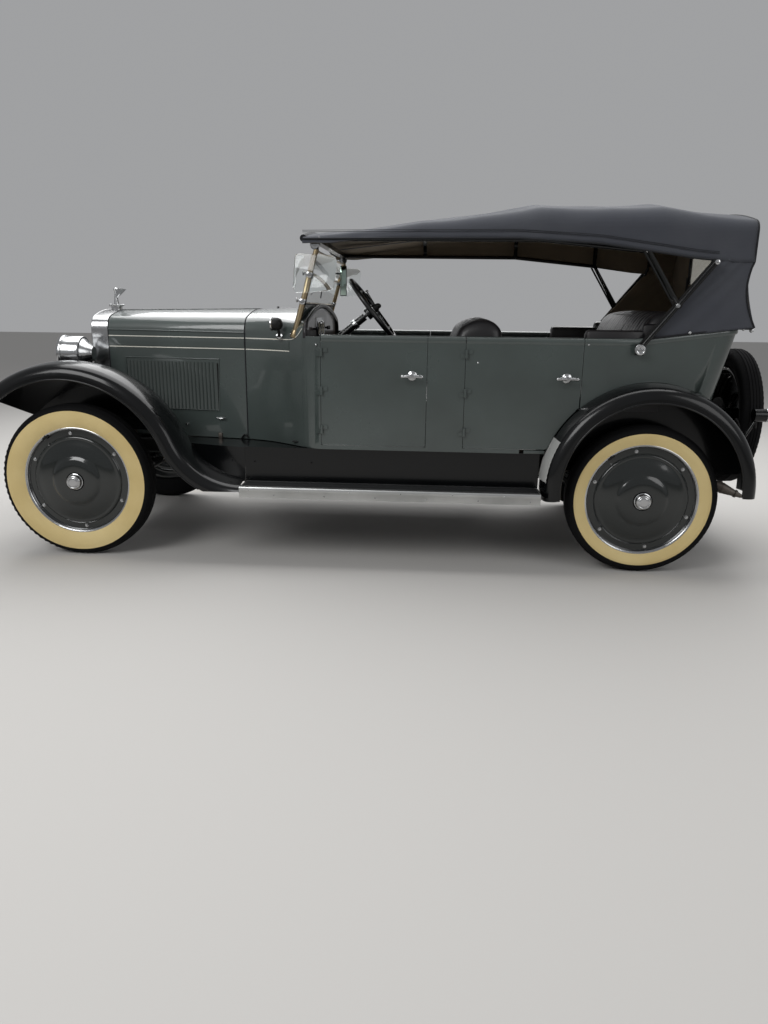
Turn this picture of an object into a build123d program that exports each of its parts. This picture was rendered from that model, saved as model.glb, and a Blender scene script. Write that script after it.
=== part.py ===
from build123d import *
import math
import os

# Open touring car of the middle 1920s, soft top raised, disc wheels, spare behind.
# Lengths are millimetres. Stations run rearwards from the front axle, heights up from the floor,
# and the car's left side is -Y. At the end every piece is shifted to the middle of the overall length.

# Wheels
WHEELBASE = 3136
TRACK = 1430
FRONT_TYRE_R = 432
REAR_TYRE_R = 406
FRONT_TYRE_WIDTH = 138
REAR_TYRE_WIDTH = 124
RIM_R = 288
RIM_LIP = 14
RIM_WIDTH = 92
RIM_WALL = 6
DISC_WALL = 6
HUB_R = 46
HUB_BORE_R = 20
HUB_IN = 55
HUB_OUT = 58
HUB_NOSE = HUB_OUT + 8
HUB_CAP_R = 40
HUB_CAP_LENGTH = 34
HUB_CAP_DOME = 9
DRUM_R = 165
DRUM_WIDTH = 44

# Running clearances
SHAFT_PLAY = 0.3
SEAT_PLAY = 0.3
MOVING_GAP = 6

# Front axle and steering
KINGPIN_Y = TRACK / 2 - 115
KINGPIN_R = 11
BOSS_R = 26
BOSS_HEIGHT = 64
FORK_THICKNESS = 22
FORK_WEB_IN = 32
FORK_WEB_OUT = 48
FRONT_BEAM_Z = 395
FRONT_BEAM_HEIGHT = 60
FRONT_BEAM_WIDTH = 46
STEER_ARM = 150
TIE_ROD_R = 12
TIE_ROD_EYE_R = 20
COLUMN_R = 22

# Frame
RAIL_Y = 405
RAIL_WIDTH = 45
RAIL_WALL = 8
RAIL_TOP = 620
RAIL_DEPTH = 120
HORN_BASE = 532
HORN_BOLT_X = -462
HORN_BOLT_Z = 547
HORN_BOLT_R = 6.5
CRANK_Z = 562
CRANK_R = 14
FRONT_RAIL_BASE = 545
REAR_RAIL_BASE = 580
REAR_RAIL_TOP = 638
FRAME_NOSE_X = -480
FRAME_TAIL_X = WHEELBASE + 584
KICK_UP_X = WHEELBASE - 636
SPRING_Y = 382
SPRING_WIDTH = 40
LEAF = 9
LEAVES = 5
SPRING_PAD = 12

# Engine and running gear
ENGINE_X = 90
ENGINE_LENGTH = 680
ENGINE_HALF = 190
ENGINE_TOP = 1150
ENGINE_BASE = 500
GEARBOX_LENGTH = 400
GEARBOX_HALF = 120
GEARBOX_TOP = 630
SHAFT_R = 36
SHAFT_Z = 555
EXHAUST_Y = -250
EXHAUST_R = 24
EXHAUST_X = 700
EXHAUST_Z = 455
MANIFOLD_Z = 740
MUFFLER_X = 1500
MUFFLER_LENGTH = 580
MUFFLER_R = 72
TAIL_PIPE_Z = 395
TANK_X = WHEELBASE + 304
TANK_LENGTH = 210
TANK_HALF = 340
TANK_BASE = 428
TANK_TOP = 572
TANK_EDGE_R = 50
REAR_TUBE_R = 38
DIFF_R = 150

# Body
BODY_HALF = 726
WALL = 45
SHEET = 5
SILL_Z = 640
DOOR_SILL_Z = 668
BELT_Z = 1245
COWL_X = 911
COWL_WALL = 18
FRONT_DOOR_X = 1394


def cabin(share):
    """Station at a share of the way from the front door's hinge to the rear axle."""
    return round(FRONT_DOOR_X + share * (WHEELBASE - FRONT_DOOR_X))


FRONT_DOOR_END = cabin(0.3226)
REAR_DOOR_X = cabin(0.4443)
REAR_DOOR_END = cabin(0.7905)
DOOR_TOP = 1242
QUARTER_X = WHEELBASE - 236
RISE_X = WHEELBASE - 76
BODY_TAIL_TOP = WHEELBASE + 468
BODY_TAIL_SLOPE = 90
TAIL_RISE = 70
FLOOR_THICKNESS = 18
FLOOR_STEP = 16
FLOOR_TOP = SILL_Z + 2 + FLOOR_THICKNESS
HINGE_OUT = 9
HINGE_R = 8
HINGE_PIN_R = 4
HINGE_HEIGHT = 44
HINGE_LEAF = 32
HINGE_LEVELS = (750, 960, 1165)

# Hood and radiator
HOOD_X = 44
HOOD_GAP = 0.3
HOOD_BASE = 640
RADIATOR_X = -52
RADIATOR_HALF = 296
RADIATOR_BASE = 560
SHELL_BAND = 42

# Fenders: angles from straight up over the axle, negative towards the front
FENDER_IN = TRACK / 2 - 115
FENDER_OUT = 872
FENDER_SHEET = 5
FENDER_LIP = 92
FENDER_CROWN_R = 400
FENDER_SHOULDER_R = 60
FENDER_CROWN_Y = 725
FRONT_FENDER_R = 667
FRONT_FENDER_TIP = 50
SKIRT_Y = 430
SKIRT_R = FRONT_FENDER_R - 172
REAR_FENDER_R = 562
REAR_FENDER_X = WHEELBASE + 14
REAR_FENDER_Z = 470
REAR_FENDER_FRONT = 97
REAR_FENDER_BACK = 92
BOARD_TOP = 441
BOARD_THICKNESS = 25
BOARD_IN = BODY_HALF - 24

# Folding top
TOP_SHEET = 6
TOP_FRONT_X = 1290
TOP_CREST_X = cabin(0.6435)
TOP_REAR_X = WHEELBASE + 474
HOOP_WIDTH = 22
HOOP_DROP = 12
TOP_HALF = BODY_HALF - 36
TOP_SKIRT = 1290
HEADER_Z = 1742
BOW_END_Z = 1690
IRON_R = 11
STRUT_R = 8
BACK_WINDOW_WIDTH = 620
BACK_WINDOW_HEIGHT = 160
BACK_WINDOW_Z = 1630

# Windshield
POST_FOOT_X = 1235
POST_FOOT_Z = 1262
POST_TOP_X = 1357
POST_TOP_Z = 1693
POST_Y = BODY_HALF - 114
POST_R = 13
GLASS = 6
FRAME_BAR = 20
FRAME_LOW = 150
FRAME_SPLIT = 330

# Seats
FRONT_SEAT_X = cabin(0.1527)
FRONT_SEAT_BACK = cabin(0.3995)
FRONT_SEAT_HALF = BODY_HALF - WALL - 41
FRONT_CUSHION_Z = 930
FRONT_BACK_TOP = 1349
FRONT_BACK_LEAN = 70
REAR_SEAT_X = cabin(0.7153)
REAR_SEAT_BACK = cabin(0.9564)
REAR_SEAT_HALF = FENDER_IN - 30
REAR_BACK_HALF = BODY_HALF - 106
REAR_CUSHION_Z = 960
REAR_BACK_TOP = 1400
REAR_BACK_LEAN = 90
SEAT_THICKNESS = 275
SEAT_KNEE = 60
SEAT_FALL = 30
SEAT_ROLL_Z = 1258
SEAT_TUCK = 90

# Lamps
HEADLAMP_X = -192
HEADLAMP_Y = 420
HEADLAMP_Z = 1122
HEADLAMP_R = 97
HEADLAMP_LENGTH = 144
LAMP_BAR_Z = 990
COWL_LAMP_R = 34
TAIL_LAMP_Y = -470
TAIL_LAMP_Z = 842
TAIL_LAMP_R = 36
STALK_R = 9
STALK_Z = 609

# Spare
SPARE_X = WHEELBASE + 679
SPARE_Z = 780

NOSE_X = -FRONT_FENDER_R * math.sin(math.radians(FRONT_FENDER_TIP))
TAIL_X = SPARE_X + HUB_NOSE
MIDDLE_X = (NOSE_X + TAIL_X) / 2


UPWARD = (Align.CENTER, Align.CENTER, Align.MIN)


def block(x0, x1, y0, y1, z0, z1):
    """Box between two corners."""
    return Pos((x0 + x1) / 2, (y0 + y1) / 2, (z0 + z1) / 2) * Box(x1 - x0, y1 - y0, z1 - z0)


def slab(points, y0, y1):
    """Polygon of (x, z) corners, solid from y0 to y1."""
    face = Plane.XZ * make_face(Polyline(*points, close=True))
    return Pos(0, y1, 0) * extrude(face, y1 - y0)


def side_slab(edges, y0, y1):
    """Closed outline of lines and arcs in (x, z), solid from y0 to y1."""
    return Pos(0, y1, 0) * extrude(Plane.XZ * make_face(edges), y1 - y0)


def bar(start, end, radius):
    """Round bar between two points."""
    run = Vector(*end) - Vector(*start)
    return extrude(Plane(origin=start, z_dir=run) * Circle(radius), run.length)


def other_side(shape):
    """The same piece on the car's right."""
    return mirror(shape, about=Plane.XZ)


def both(shape):
    return shape + other_side(shape)


def turned(edges, arc=360):
    """Profile of (y, radius) edges turned about the Y axis, starting straight up."""
    return revolve(Plane.YZ * make_face(edges), axis=Axis.Y, revolution_arc=arc)


def closed(*points):
    return Polyline(*points, close=True).edges()


def shoulder(half, top, crown_r, shoulder_r):
    """Where a crown arc meets a shoulder arc that ends upright at the half width."""
    height = top - crown_r + math.sqrt((crown_r - shoulder_r) ** 2 - (half - shoulder_r) ** 2)
    turn = math.atan2(height - top + crown_r, half - shoulder_r)
    middle = (half - shoulder_r + shoulder_r * math.cos(turn / 2), height + shoulder_r * math.sin(turn / 2))
    meet = (half - shoulder_r + shoulder_r * math.cos(turn), height + shoulder_r * math.sin(turn))
    return height, middle, meet


def arch(x, half, base, top, crown_r, shoulder_r):
    """Body cross-section at a station: upright sides, two shoulders and a crown."""
    height, middle, meet = shoulder(half, top, crown_r, shoulder_r)
    left = lambda point: (-point[0], point[1])
    edges = [
        Line((-half, base), (half, base)),
        Line((half, base), (half, height)),
        ThreePointArc((half, height), middle, meet),
        ThreePointArc(meet, (0, top), left(meet)),
        ThreePointArc(left(meet), left(middle), (-half, height)),
        Line((-half, height), (-half, base)),
    ]
    return Plane.YZ.offset(x) * make_face(edges)


def stretched(rows, by):
    """The same sections with the first and last moved outwards."""
    first, *middle, last = rows
    return [(first[0] - by, *first[1:]), *middle, (last[0] + by, *last[1:])]


def arch_loft(rows, inset=0, drop=0):
    """Straight-sided loft through rows of (x, half, base, top, crown_r, shoulder_r)."""
    faces = [
        arch(x, half - inset, base - drop, top - inset, crown_r - inset, shoulder_r - inset)
        for x, half, base, top, crown_r, shoulder_r in rows
    ]
    return loft(faces, ruled=True)


# Station, half width, base, top, crown radius and shoulder radius along the hood and cowl
HOOD_ROWS = [
    (HOOD_X, 290, HOOD_BASE, 1368, 800, 80),
    (COWL_X - HOOD_GAP, 432, HOOD_BASE, 1384, 1500, 90),
]
COWL_ROWS = [
    (COWL_X, 433, SILL_Z, 1384, 1500, 90),
    (980, 454, SILL_Z, 1388, 1620, 90),
    (1050, 487, SILL_Z, 1391, 1750, 90),
    (1120, 533, SILL_Z, 1395, 1900, 90),
    (1190, BODY_HALF - 138, SILL_Z, 1398, 2050, 90),
    (1250, BODY_HALF - 85, SILL_Z, 1401, 2220, 90),
    (1310, BODY_HALF - 38, SILL_Z, 1404, 2400, 90),
    (1350, BODY_HALF - 14, SILL_Z, 1406, 2500, 92),
    (FRONT_DOOR_X - MOVING_GAP, BODY_HALF, SILL_Z, 1408, 2600, 92),
]
# The same six values along the folding top, at each bow
TOP_ROWS = [
    (TOP_FRONT_X, TOP_HALF - 28, TOP_SKIRT, 1812, 3500, 40),
    (cabin(0.2905), TOP_HALF - 14, TOP_SKIRT, 1886, 3200, 60),
    (TOP_CREST_X, TOP_HALF, TOP_SKIRT, 1972, 2800, 100),
    (WHEELBASE + 3, TOP_HALF, TOP_SKIRT, 1976, 2800, 110),
    (TOP_REAR_X, TOP_HALF - 40, TOP_SKIRT, 1925, 2400, 55),
]


def frame_rail():
    """Left side rail, a channel open inwards, low at the nose and raised over the rear axle."""
    base = RAIL_TOP - RAIL_DEPTH
    outline = [
        (FRAME_NOSE_X, HORN_BASE), (FRAME_NOSE_X, 560), (-330, 600), (-60, RAIL_TOP + 15), (160, RAIL_TOP),
        (KICK_UP_X, RAIL_TOP), (KICK_UP_X + 100, REAR_RAIL_TOP), (FRAME_TAIL_X, REAR_RAIL_TOP),
        (FRAME_TAIL_X, REAR_RAIL_BASE), (KICK_UP_X + 150, REAR_RAIL_BASE), (KICK_UP_X + 60, base),
        (600, base), (480, FRONT_RAIL_BASE), (-300, 560), (-430, HORN_BASE),
    ]
    rail = slab(outline, -RAIL_Y, -RAIL_Y + RAIL_WIDTH)
    low, high = base + RAIL_WALL, RAIL_TOP - RAIL_WALL
    pocket = slab([(180, high), (KICK_UP_X - 10, high), (KICK_UP_X - 10, low), (620, low)],
                  -RAIL_Y + RAIL_WALL, -RAIL_Y + RAIL_WIDTH)
    return rail - pocket


def frame_rails():
    x, y, z = HORN_BOLT_X, RAIL_Y + 1, HORN_BOLT_Z
    return both(frame_rail()) - bar((x, -y, z), (x, y, z), HORN_BOLT_R)


def frame_members():
    """Cross-members between the rails and the brackets that carry the running boards."""
    inner = RAIL_Y - RAIL_WIDTH
    members = None
    # Cross-members: x0, x1, z0, z1
    for x0, x1, z0, z1 in [
        (RADIATOR_X + 8, HOOD_X - 12, RADIATOR_BASE - 25, RADIATOR_BASE),
        (-400, -340, CRANK_Z - 32, CRANK_Z + 28),
        (1190, 1250, 598, RAIL_TOP),
        (1700, 1760, 598, RAIL_TOP),
        (KICK_UP_X - 60, KICK_UP_X, 598, RAIL_TOP),
        (FRAME_TAIL_X - 56, FRAME_TAIL_X - 4, 585, REAR_RAIL_TOP - 4),
    ]:
        member = block(x0, x1, -inner, inner, z0, z1)
        members = member if members is None else members + member
    members -= bar((-401, 0, CRANK_Z), (-339, 0, CRANK_Z), CRANK_R)
    base = BOARD_TOP - BOARD_THICKNESS - 16
    for x in (1150, 1780, KICK_UP_X - 80):
        members += both(block(x - 20, x + 20, -860, -RAIL_Y, base, BOARD_TOP - BOARD_THICKNESS))
        members += both(block(x - 20, x + 20, -RAIL_Y, -RAIL_Y + RAIL_WALL, base, RAIL_TOP - RAIL_DEPTH))
    return members


def leaf_pack(length, rise, leaves):
    """Leaf spring along X, bottom of the pack at z = 0 under its middle."""
    pack = None
    for index in range(leaves):
        reach = length * (1 - 0.17 * (leaves - 1 - index))
        lift = rise * (reach / length) ** 2
        low = index * LEAF
        edges = [
            ThreePointArc((-reach, low + lift), (0, low), (reach, low + lift)),
            Line((reach, low + lift), (reach, low + lift + LEAF)),
            ThreePointArc((reach, low + lift + LEAF), (0, low + LEAF), (-reach, low + lift + LEAF)),
            Line((-reach, low + lift + LEAF), (-reach, low + lift)),
        ]
        leaf = side_slab(edges, -SPRING_WIDTH / 2, SPRING_WIDTH / 2)
        pack = leaf if pack is None else pack + leaf
    return pack


def leaf_springs():
    """Four packs, each on its axle pad and shackled to the rail above."""
    springs = None
    # x, pad height, half length, rise, rail underside at the front and rear eye
    for x, pad, length, rise, front_z, rear_z in [
        (0, FRONT_BEAM_Z + FRONT_BEAM_HEIGHT / 2, 450, 60, HORN_BASE, FRONT_RAIL_BASE),
        (WHEELBASE, REAR_TYRE_R + REAR_TUBE_R + SPRING_PAD, 460, 60, REAR_RAIL_BASE, REAR_RAIL_BASE),
    ]:
        pack = Pos(x, -SPRING_Y, pad) * leaf_pack(length, rise, LEAVES)
        eye_z = pad + rise + LEAF * (LEAVES - 1)
        for end, top in ((-1, front_z), (1, rear_z)):
            eye_x = x + end * (length - 12)
            pack += block(eye_x - 10, eye_x + 10, -SPRING_Y - SPRING_WIDTH / 2, -SPRING_Y + SPRING_WIDTH / 2,
                          eye_z - 3, top)
        springs = both(pack) if springs is None else springs + both(pack)
    return springs


def front_axle():
    low = FRONT_BEAM_Z - FRONT_BEAM_HEIGHT / 2
    high = FRONT_BEAM_Z + FRONT_BEAM_HEIGHT / 2
    half = FRONT_BEAM_WIDTH / 2
    centre = FRONT_TYRE_R
    beam_face = make_face(Polyline(
        (-KINGPIN_Y, centre - 24), (-560, centre - 24), (-490, low), (490, low), (560, centre - 24),
        (KINGPIN_Y, centre - 24),
        (KINGPIN_Y, centre + 24), (480, high), (-480, high), (-KINGPIN_Y, centre + 24), close=True,
    ))
    beam = Pos(-half, 0, 0) * extrude(Plane.YZ * beam_face, FRONT_BEAM_WIDTH)
    web = block(-half, -6, -460, 460, low + 12, high - 12) + block(6, half, -460, 460, low + 12, high - 12)
    axle = beam - web
    for side in (-1, 1):
        axle += Pos(0, side * KINGPIN_Y, centre) * Cylinder(BOSS_R, BOSS_HEIGHT)
        axle -= Pos(0, side * KINGPIN_Y, centre) * Cylinder(KINGPIN_R + SHAFT_PLAY, BOSS_HEIGHT * 2)
    return axle


def knuckle():
    """Left steering knuckle: fork round the axle end, kingpin, spindle and steering arm."""
    centre = FRONT_TYRE_R
    y = -KINGPIN_Y
    top = centre + BOSS_HEIGHT / 2 + SEAT_PLAY
    base = centre - BOSS_HEIGHT / 2 - SEAT_PLAY
    fork = Pos(0, y, top + FORK_THICKNESS / 2) * Cylinder(BOSS_R, FORK_THICKNESS)
    fork += Pos(0, y, base - FORK_THICKNESS / 2) * Cylinder(BOSS_R, FORK_THICKNESS)
    fork += Pos(0, y, centre) * Cylinder(KINGPIN_R, BOSS_HEIGHT + FORK_THICKNESS)
    fork += block(-20, 20, y - FORK_WEB_OUT, y - FORK_WEB_IN, base - FORK_THICKNESS, top + FORK_THICKNESS)
    for z in (top, base - FORK_THICKNESS):
        fork += block(-20, 20, y - FORK_WEB_IN, y, z, z + FORK_THICKNESS)
    inner_hub = -TRACK / 2 + HUB_IN
    web = (0, y - FORK_WEB_OUT, centre)
    fork += bar(web, (0, inner_hub + SEAT_PLAY, centre), HUB_BORE_R + 10)
    fork += bar(web, (0, -TRACK / 2 - HUB_OUT + 12, centre), HUB_BORE_R - SHAFT_PLAY)
    arm_low = base - FORK_THICKNESS
    fork += block(0, STEER_ARM, y - 14, y + 14, arm_low, arm_low + 16)
    fork += Pos(STEER_ARM, y, arm_low + 8) * Cylinder(TIE_ROD_EYE_R, 16)
    fork += Pos(STEER_ARM, y, arm_low - 14) * Cylinder(7, 28)
    return fork


def tie_rod():
    """Rod behind the axle between the two steering arms' ball pins."""
    arm_low = FRONT_TYRE_R - BOSS_HEIGHT / 2 - SEAT_PLAY - FORK_THICKNESS
    z = arm_low - SEAT_PLAY - 12
    rod = bar((STEER_ARM, -KINGPIN_Y + 10, z), (STEER_ARM, KINGPIN_Y - 10, z), TIE_ROD_R - 2)
    for side in (-1, 1):
        rod += Pos(STEER_ARM, side * KINGPIN_Y, z) * Cylinder(TIE_ROD_EYE_R, 24)
    rod -= Pos(STEER_ARM, -KINGPIN_Y, z) * Cylinder(7 + SHAFT_PLAY, 60)
    rod -= Pos(STEER_ARM, KINGPIN_Y, z) * Cylinder(12, 60)
    return rod


def rear_axle():
    """Axle tube, differential, brake backing plates and torque tube."""
    z = REAR_TYRE_R
    inner_hub = TRACK / 2 - HUB_IN
    axle = bar((WHEELBASE, -inner_hub + 30, z), (WHEELBASE, inner_hub - 30, z), REAR_TUBE_R)
    axle += Pos(WHEELBASE, 0, z) * Sphere(DIFF_R)
    seat_y = inner_hub - SEAT_PLAY
    axle += bar((WHEELBASE, -seat_y, z), (WHEELBASE, seat_y, z), HUB_BORE_R + 10)
    tip = TRACK / 2 + HUB_OUT - 12
    axle += bar((WHEELBASE, -tip, z), (WHEELBASE, tip, z), HUB_BORE_R - SHAFT_PLAY)
    plate = inner_hub - 24
    axle += both(bar((WHEELBASE, -plate, z), (WHEELBASE, -plate + 8, z), DRUM_R + 8))
    axle += bar((ENGINE_X + ENGINE_LENGTH + GEARBOX_LENGTH, 0, SHAFT_Z), (WHEELBASE - 60, 0, z + 10), SHAFT_R)
    for side in (-1, 1):
        axle += block(WHEELBASE - 60, WHEELBASE + 60, side * SPRING_Y - 24, side * SPRING_Y + 24,
                      z, z + REAR_TUBE_R + SPRING_PAD)
    return axle


def engine_block():
    """Engine and gearbox masses, hung on arms between the rails."""
    end = ENGINE_X + ENGINE_LENGTH
    block_solid = block(ENGINE_X, end, -ENGINE_HALF, ENGINE_HALF, ENGINE_BASE, ENGINE_TOP)
    gearbox_end = end + GEARBOX_LENGTH
    gearbox = block(end, gearbox_end, -GEARBOX_HALF, GEARBOX_HALF, ENGINE_BASE - 20, GEARBOX_TOP)
    inner = RAIL_Y - RAIL_WIDTH
    arms = block(ENGINE_X + 80, ENGINE_X + 140, -inner, inner, 560, 600)
    arms += block(end - 170, end - 110, -inner, inner, 560, 600)
    solid = block_solid + gearbox + arms
    return solid - bar((gearbox_end - 60, 0, SHAFT_Z), (gearbox_end + 1, 0, SHAFT_Z), SHAFT_R + 1)


def exhaust():
    """Pipe down from the engine, muffler under the left floor, tail pipe over the axle."""
    x, y, low = EXHAUST_X, EXHAUST_Y, EXHAUST_Z
    axle, over, tail = WHEELBASE, EXHAUST_Z + 75, TAIL_PIPE_Z
    run = [
        (x, y, MANIFOLD_Z + 20), (x, y, low), (axle - 386, y, low), (axle - 186, y, over),
        (axle + 164, y, over), (axle + 284, y, tail), (axle + 604, y, tail),
    ]
    route = FilletPolyline(*run, radius=45)
    pipe = sweep(Plane(origin=run[0], z_dir=(0, 0, -1)) * Circle(EXHAUST_R), path=route)
    pipe += bar((x, -ENGINE_HALF, MANIFOLD_Z), (x, y - 10, MANIFOLD_Z), EXHAUST_R)
    pipe += bar((MUFFLER_X, y, low), (MUFFLER_X + MUFFLER_LENGTH, y, low), MUFFLER_R)
    return pipe


def fuel_tank():
    tank = block(TANK_X, TANK_X + TANK_LENGTH, -TANK_HALF, TANK_HALF, TANK_BASE, TANK_TOP)
    tank = fillet(tank.edges().filter_by(Axis.Y), TANK_EDGE_R)
    strap_x = TANK_X + TANK_LENGTH - 50
    strap_base = (TANK_BASE + TANK_TOP) / 2
    for y in (-TANK_HALF - 10, TANK_HALF + 10):
        tank += block(strap_x, strap_x + 40, y - 10, y + 10, strap_base, REAR_RAIL_BASE + 20)
    return tank


def tyre(radius, width):
    """Tyre section turned about the wheel's axis, standing on the rim."""
    half = width / 2
    bead = RIM_WIDTH / 2 - RIM_WALL
    lip = RIM_R + RIM_LIP
    middle = (lip + radius) / 2
    tread = half * 0.62
    edges = [
        *Polyline((-bead, lip), (-bead, RIM_R), (bead, RIM_R), (bead, lip)).edges(),
        ThreePointArc((bead, lip), (half, middle), (tread, radius - 4)),
        ThreePointArc((tread, radius - 4), (0, radius), (-tread, radius - 4)),
        ThreePointArc((-tread, radius - 4), (-half, middle), (-bead, lip)),
    ]
    return turned(edges)


def disc_wheel(drum, cap=True):
    """Left wheel, outboard towards -Y: rim, stepped disc, hub and hub cap."""
    out, well = RIM_WIDTH / 2, RIM_WIDTH / 2 - RIM_WALL
    lip, floor = RIM_R + RIM_LIP, RIM_R - RIM_WALL
    rim = turned(closed(
        (-out, lip), (-out, floor), (out, floor), (out, lip),
        (well, lip), (well, RIM_R), (-well, RIM_R), (-well, lip),
    ))
    # Disc profile, (outboard face, radius) from the rim to the hub
    face = [
        (-24, RIM_R - 2), (-24, 248), (-34, 236), (-34, 226),
        (-44, 196), (-52, 128), (-60, 120), (-66, 78), (-66, HUB_R),
    ]
    back = [(y + DISC_WALL, r) for y, r in reversed(face)]
    disc = turned(closed(*face, *back))
    hub = turned(closed(
        (-HUB_NOSE, 0), (-HUB_NOSE, HUB_R), (-HUB_NOSE + 14, HUB_R + 4), (HUB_IN, HUB_R - 4), (HUB_IN, 0),
    ))
    wheel = rim + disc + hub
    if cap:
        cap_end = -HUB_NOSE - HUB_CAP_LENGTH
        edge_r = HUB_CAP_R - 3
        dome_r = (edge_r ** 2 + HUB_CAP_DOME ** 2) / (2 * HUB_CAP_DOME)
        half_turn = math.asin(edge_r / dome_r) / 2
        dome_mid = (cap_end + dome_r * (1 - math.cos(half_turn)), dome_r * math.sin(half_turn))
        wheel += turned([
            Line((-HUB_NOSE + 1, 0), (-HUB_NOSE + 1, HUB_CAP_R)),
            Line((-HUB_NOSE + 1, HUB_CAP_R), (cap_end + HUB_CAP_DOME, edge_r)),
            ThreePointArc((cap_end + HUB_CAP_DOME, edge_r), dome_mid, (cap_end, 0)),
            Line((cap_end, 0), (-HUB_NOSE + 1, 0)),
        ])
    if drum:
        open_end, eye, inner = HUB_IN - DRUM_WIDTH, HUB_BORE_R + 5, DRUM_R - 10
        wheel += turned(closed(
            (HUB_IN, eye), (HUB_IN, DRUM_R), (open_end, DRUM_R),
            (open_end, inner), (HUB_IN - 8, inner), (HUB_IN - 8, eye),
        ))
    bore = turned(closed((-HUB_OUT, 0), (-HUB_OUT, HUB_BORE_R), (HUB_IN + 1, HUB_BORE_R), (HUB_IN + 1, 0)))
    return wheel - bore


def shell_arch(x0, x1, inset):
    rows = [(x, RADIATOR_HALF, RADIATOR_BASE, 1374, 800, 80) for x in (x0, x1)]
    return arch_loft(rows, inset, -inset)


def radiator_shell():
    outer = shell_arch(RADIATOR_X, HOOD_X - HOOD_GAP, 0)
    window = shell_arch(RADIATOR_X - 1, RADIATOR_X + 20, SHELL_BAND)
    return outer - window - shell_arch(RADIATOR_X + 16, HOOD_X, 8)


def radiator_core():
    return shell_arch(RADIATOR_X + 18, HOOD_X - 14, 8 + SEAT_PLAY)


def radiator_cap():
    """Filler cap and a plain finial with two swept blades."""
    z = 1374
    x = RADIATOR_X + 40
    neck = Pos(x, 0, z - 3) * Cylinder(34, 20, align=UPWARD)
    neck += Pos(x, 0, z + 16) * Cylinder(42, 14, align=UPWARD)
    body = Pos(x, 0, z + 29) * Cone(16, 7, 80, align=UPWARD)
    head = Pos(x, 0, z + 118) * Sphere(13)
    cap = neck + body + head
    wing = [(x - 6, z + 88), (x + 30, z + 126), (x + 64, z + 120), (x + 36, z + 92), (x + 6, z + 66)]
    for side in (-1, 1):
        cap += Pos(x, 0, 0) * Rot(0, 0, side * 28) * Pos(-x, 0, 0) * slab(wing, -4, 4)
    return cap - shell_arch(RADIATOR_X, HOOD_X, 0)


def hood_shell():
    return arch_loft(HOOD_ROWS) - arch_loft(stretched(HOOD_ROWS, 1), SHEET, 1)


def louvres():
    """Raised vent blades in a frame on the left hood side."""
    x0 = 171
    pitch = 23
    blades = None
    slope = (HOOD_ROWS[1][1] - HOOD_ROWS[0][1]) / (HOOD_ROWS[1][0] - HOOD_ROWS[0][0])
    turn = math.degrees(math.atan(slope))
    for index in range(25):
        x = x0 + index * pitch
        y = -(HOOD_ROWS[0][1] + (x - HOOD_ROWS[0][0]) * slope)
        blade = extrude(make_face(Polyline((-9, 1), (9, 1), (9, -1), (-5, -12), (-9, -12), close=True)), 280)
        blade = Pos(x, y, 800) * Rot(0, 0, -turn) * blade
        blades = blade if blades is None else blades + blade
    return blades


def hood_split():
    """Height of the hinge line where each upright side meets its shoulder."""
    return shoulder(*[HOOD_ROWS[0][i] for i in (1, 3, 4, 5)])[0]


def hood_top():
    shell = hood_shell()
    low = hood_split()
    top = shell - block(HOOD_X - 5, COWL_X + 5, -800, 800, 500, low)
    return top - block(HOOD_X - 5, COWL_X + 5, -SEAT_PLAY / 2, SEAT_PLAY / 2, low, 1500)


def hood_sides():
    shell = hood_shell()
    low = hood_split()
    sides = shell - block(HOOD_X - 5, COWL_X + 5, -800, 800, low - SEAT_PLAY, 1500)
    return sides + both(louvres())


def cowl_solid():
    """Cowl's outer form, flaring from the hood to the body's full width."""
    return arch_loft(COWL_ROWS)


def cowl_inside(base):
    """Space within the cowl's wall, from a height upwards."""
    space = arch_loft(stretched(COWL_ROWS, 1), COWL_WALL, 1)
    return space & block(COWL_X - 2, FRONT_DOOR_X, -BODY_HALF, BODY_HALF, base, 1500)


def cowl():
    panel = cowl_solid() - cowl_inside(SILL_Z - 1)
    end = FRONT_DOOR_X
    panel -= block(1292, end, -BODY_HALF + WALL, BODY_HALF - WALL, SILL_Z + 1, 1500)
    return panel - block(1292, end, -800, 800, BELT_Z, 1500) + both(hinges(FRONT_DOOR_X, False))


def firewall():
    """Upright bulkhead with the sloping toe board behind it."""
    plate = block(COWL_X + 4, COWL_X + 24, -800, 800, SILL_Z + 2, 1500)
    low = FLOOR_TOP - FLOOR_THICKNESS
    toe = slab([(COWL_X + 24, 860), (COWL_X + 24, 842), (1180, low), (1200, low)], -800, 800)
    return ((plate + toe) & cowl_inside(SILL_Z + 1)) - column_tube(SEAT_PLAY)


def instrument_panel():
    panel = block(1270, 1290, -800, 800, 1120, 1500) & cowl_inside(SILL_Z + 1)
    return panel - column_tube(SEAT_PLAY)


def plan_outline(z, half, tail, corner, front):
    """Plan of the body at a height: straight sides, tapered quarters and rounded rear corners."""
    start = QUARTER_X
    rear_half = half - 76
    edges = [
        Line((front, -half), (start, -half)),
        Line((start, -half), (tail - corner, -rear_half)),
        ThreePointArc((tail - corner, -rear_half), (tail - corner * 0.24, -rear_half + corner * 0.32),
                      (tail, -rear_half + corner)),
        Line((tail, -rear_half + corner), (tail, rear_half - corner)),
        ThreePointArc((tail, rear_half - corner), (tail - corner * 0.24, rear_half - corner * 0.32),
                      (tail - corner, rear_half)),
        Line((tail - corner, rear_half), (start, half)),
        Line((start, half), (front, half)),
        Line((front, half), (front, -half)),
    ]
    return Pos(0, 0, z) * make_face(edges)


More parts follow.
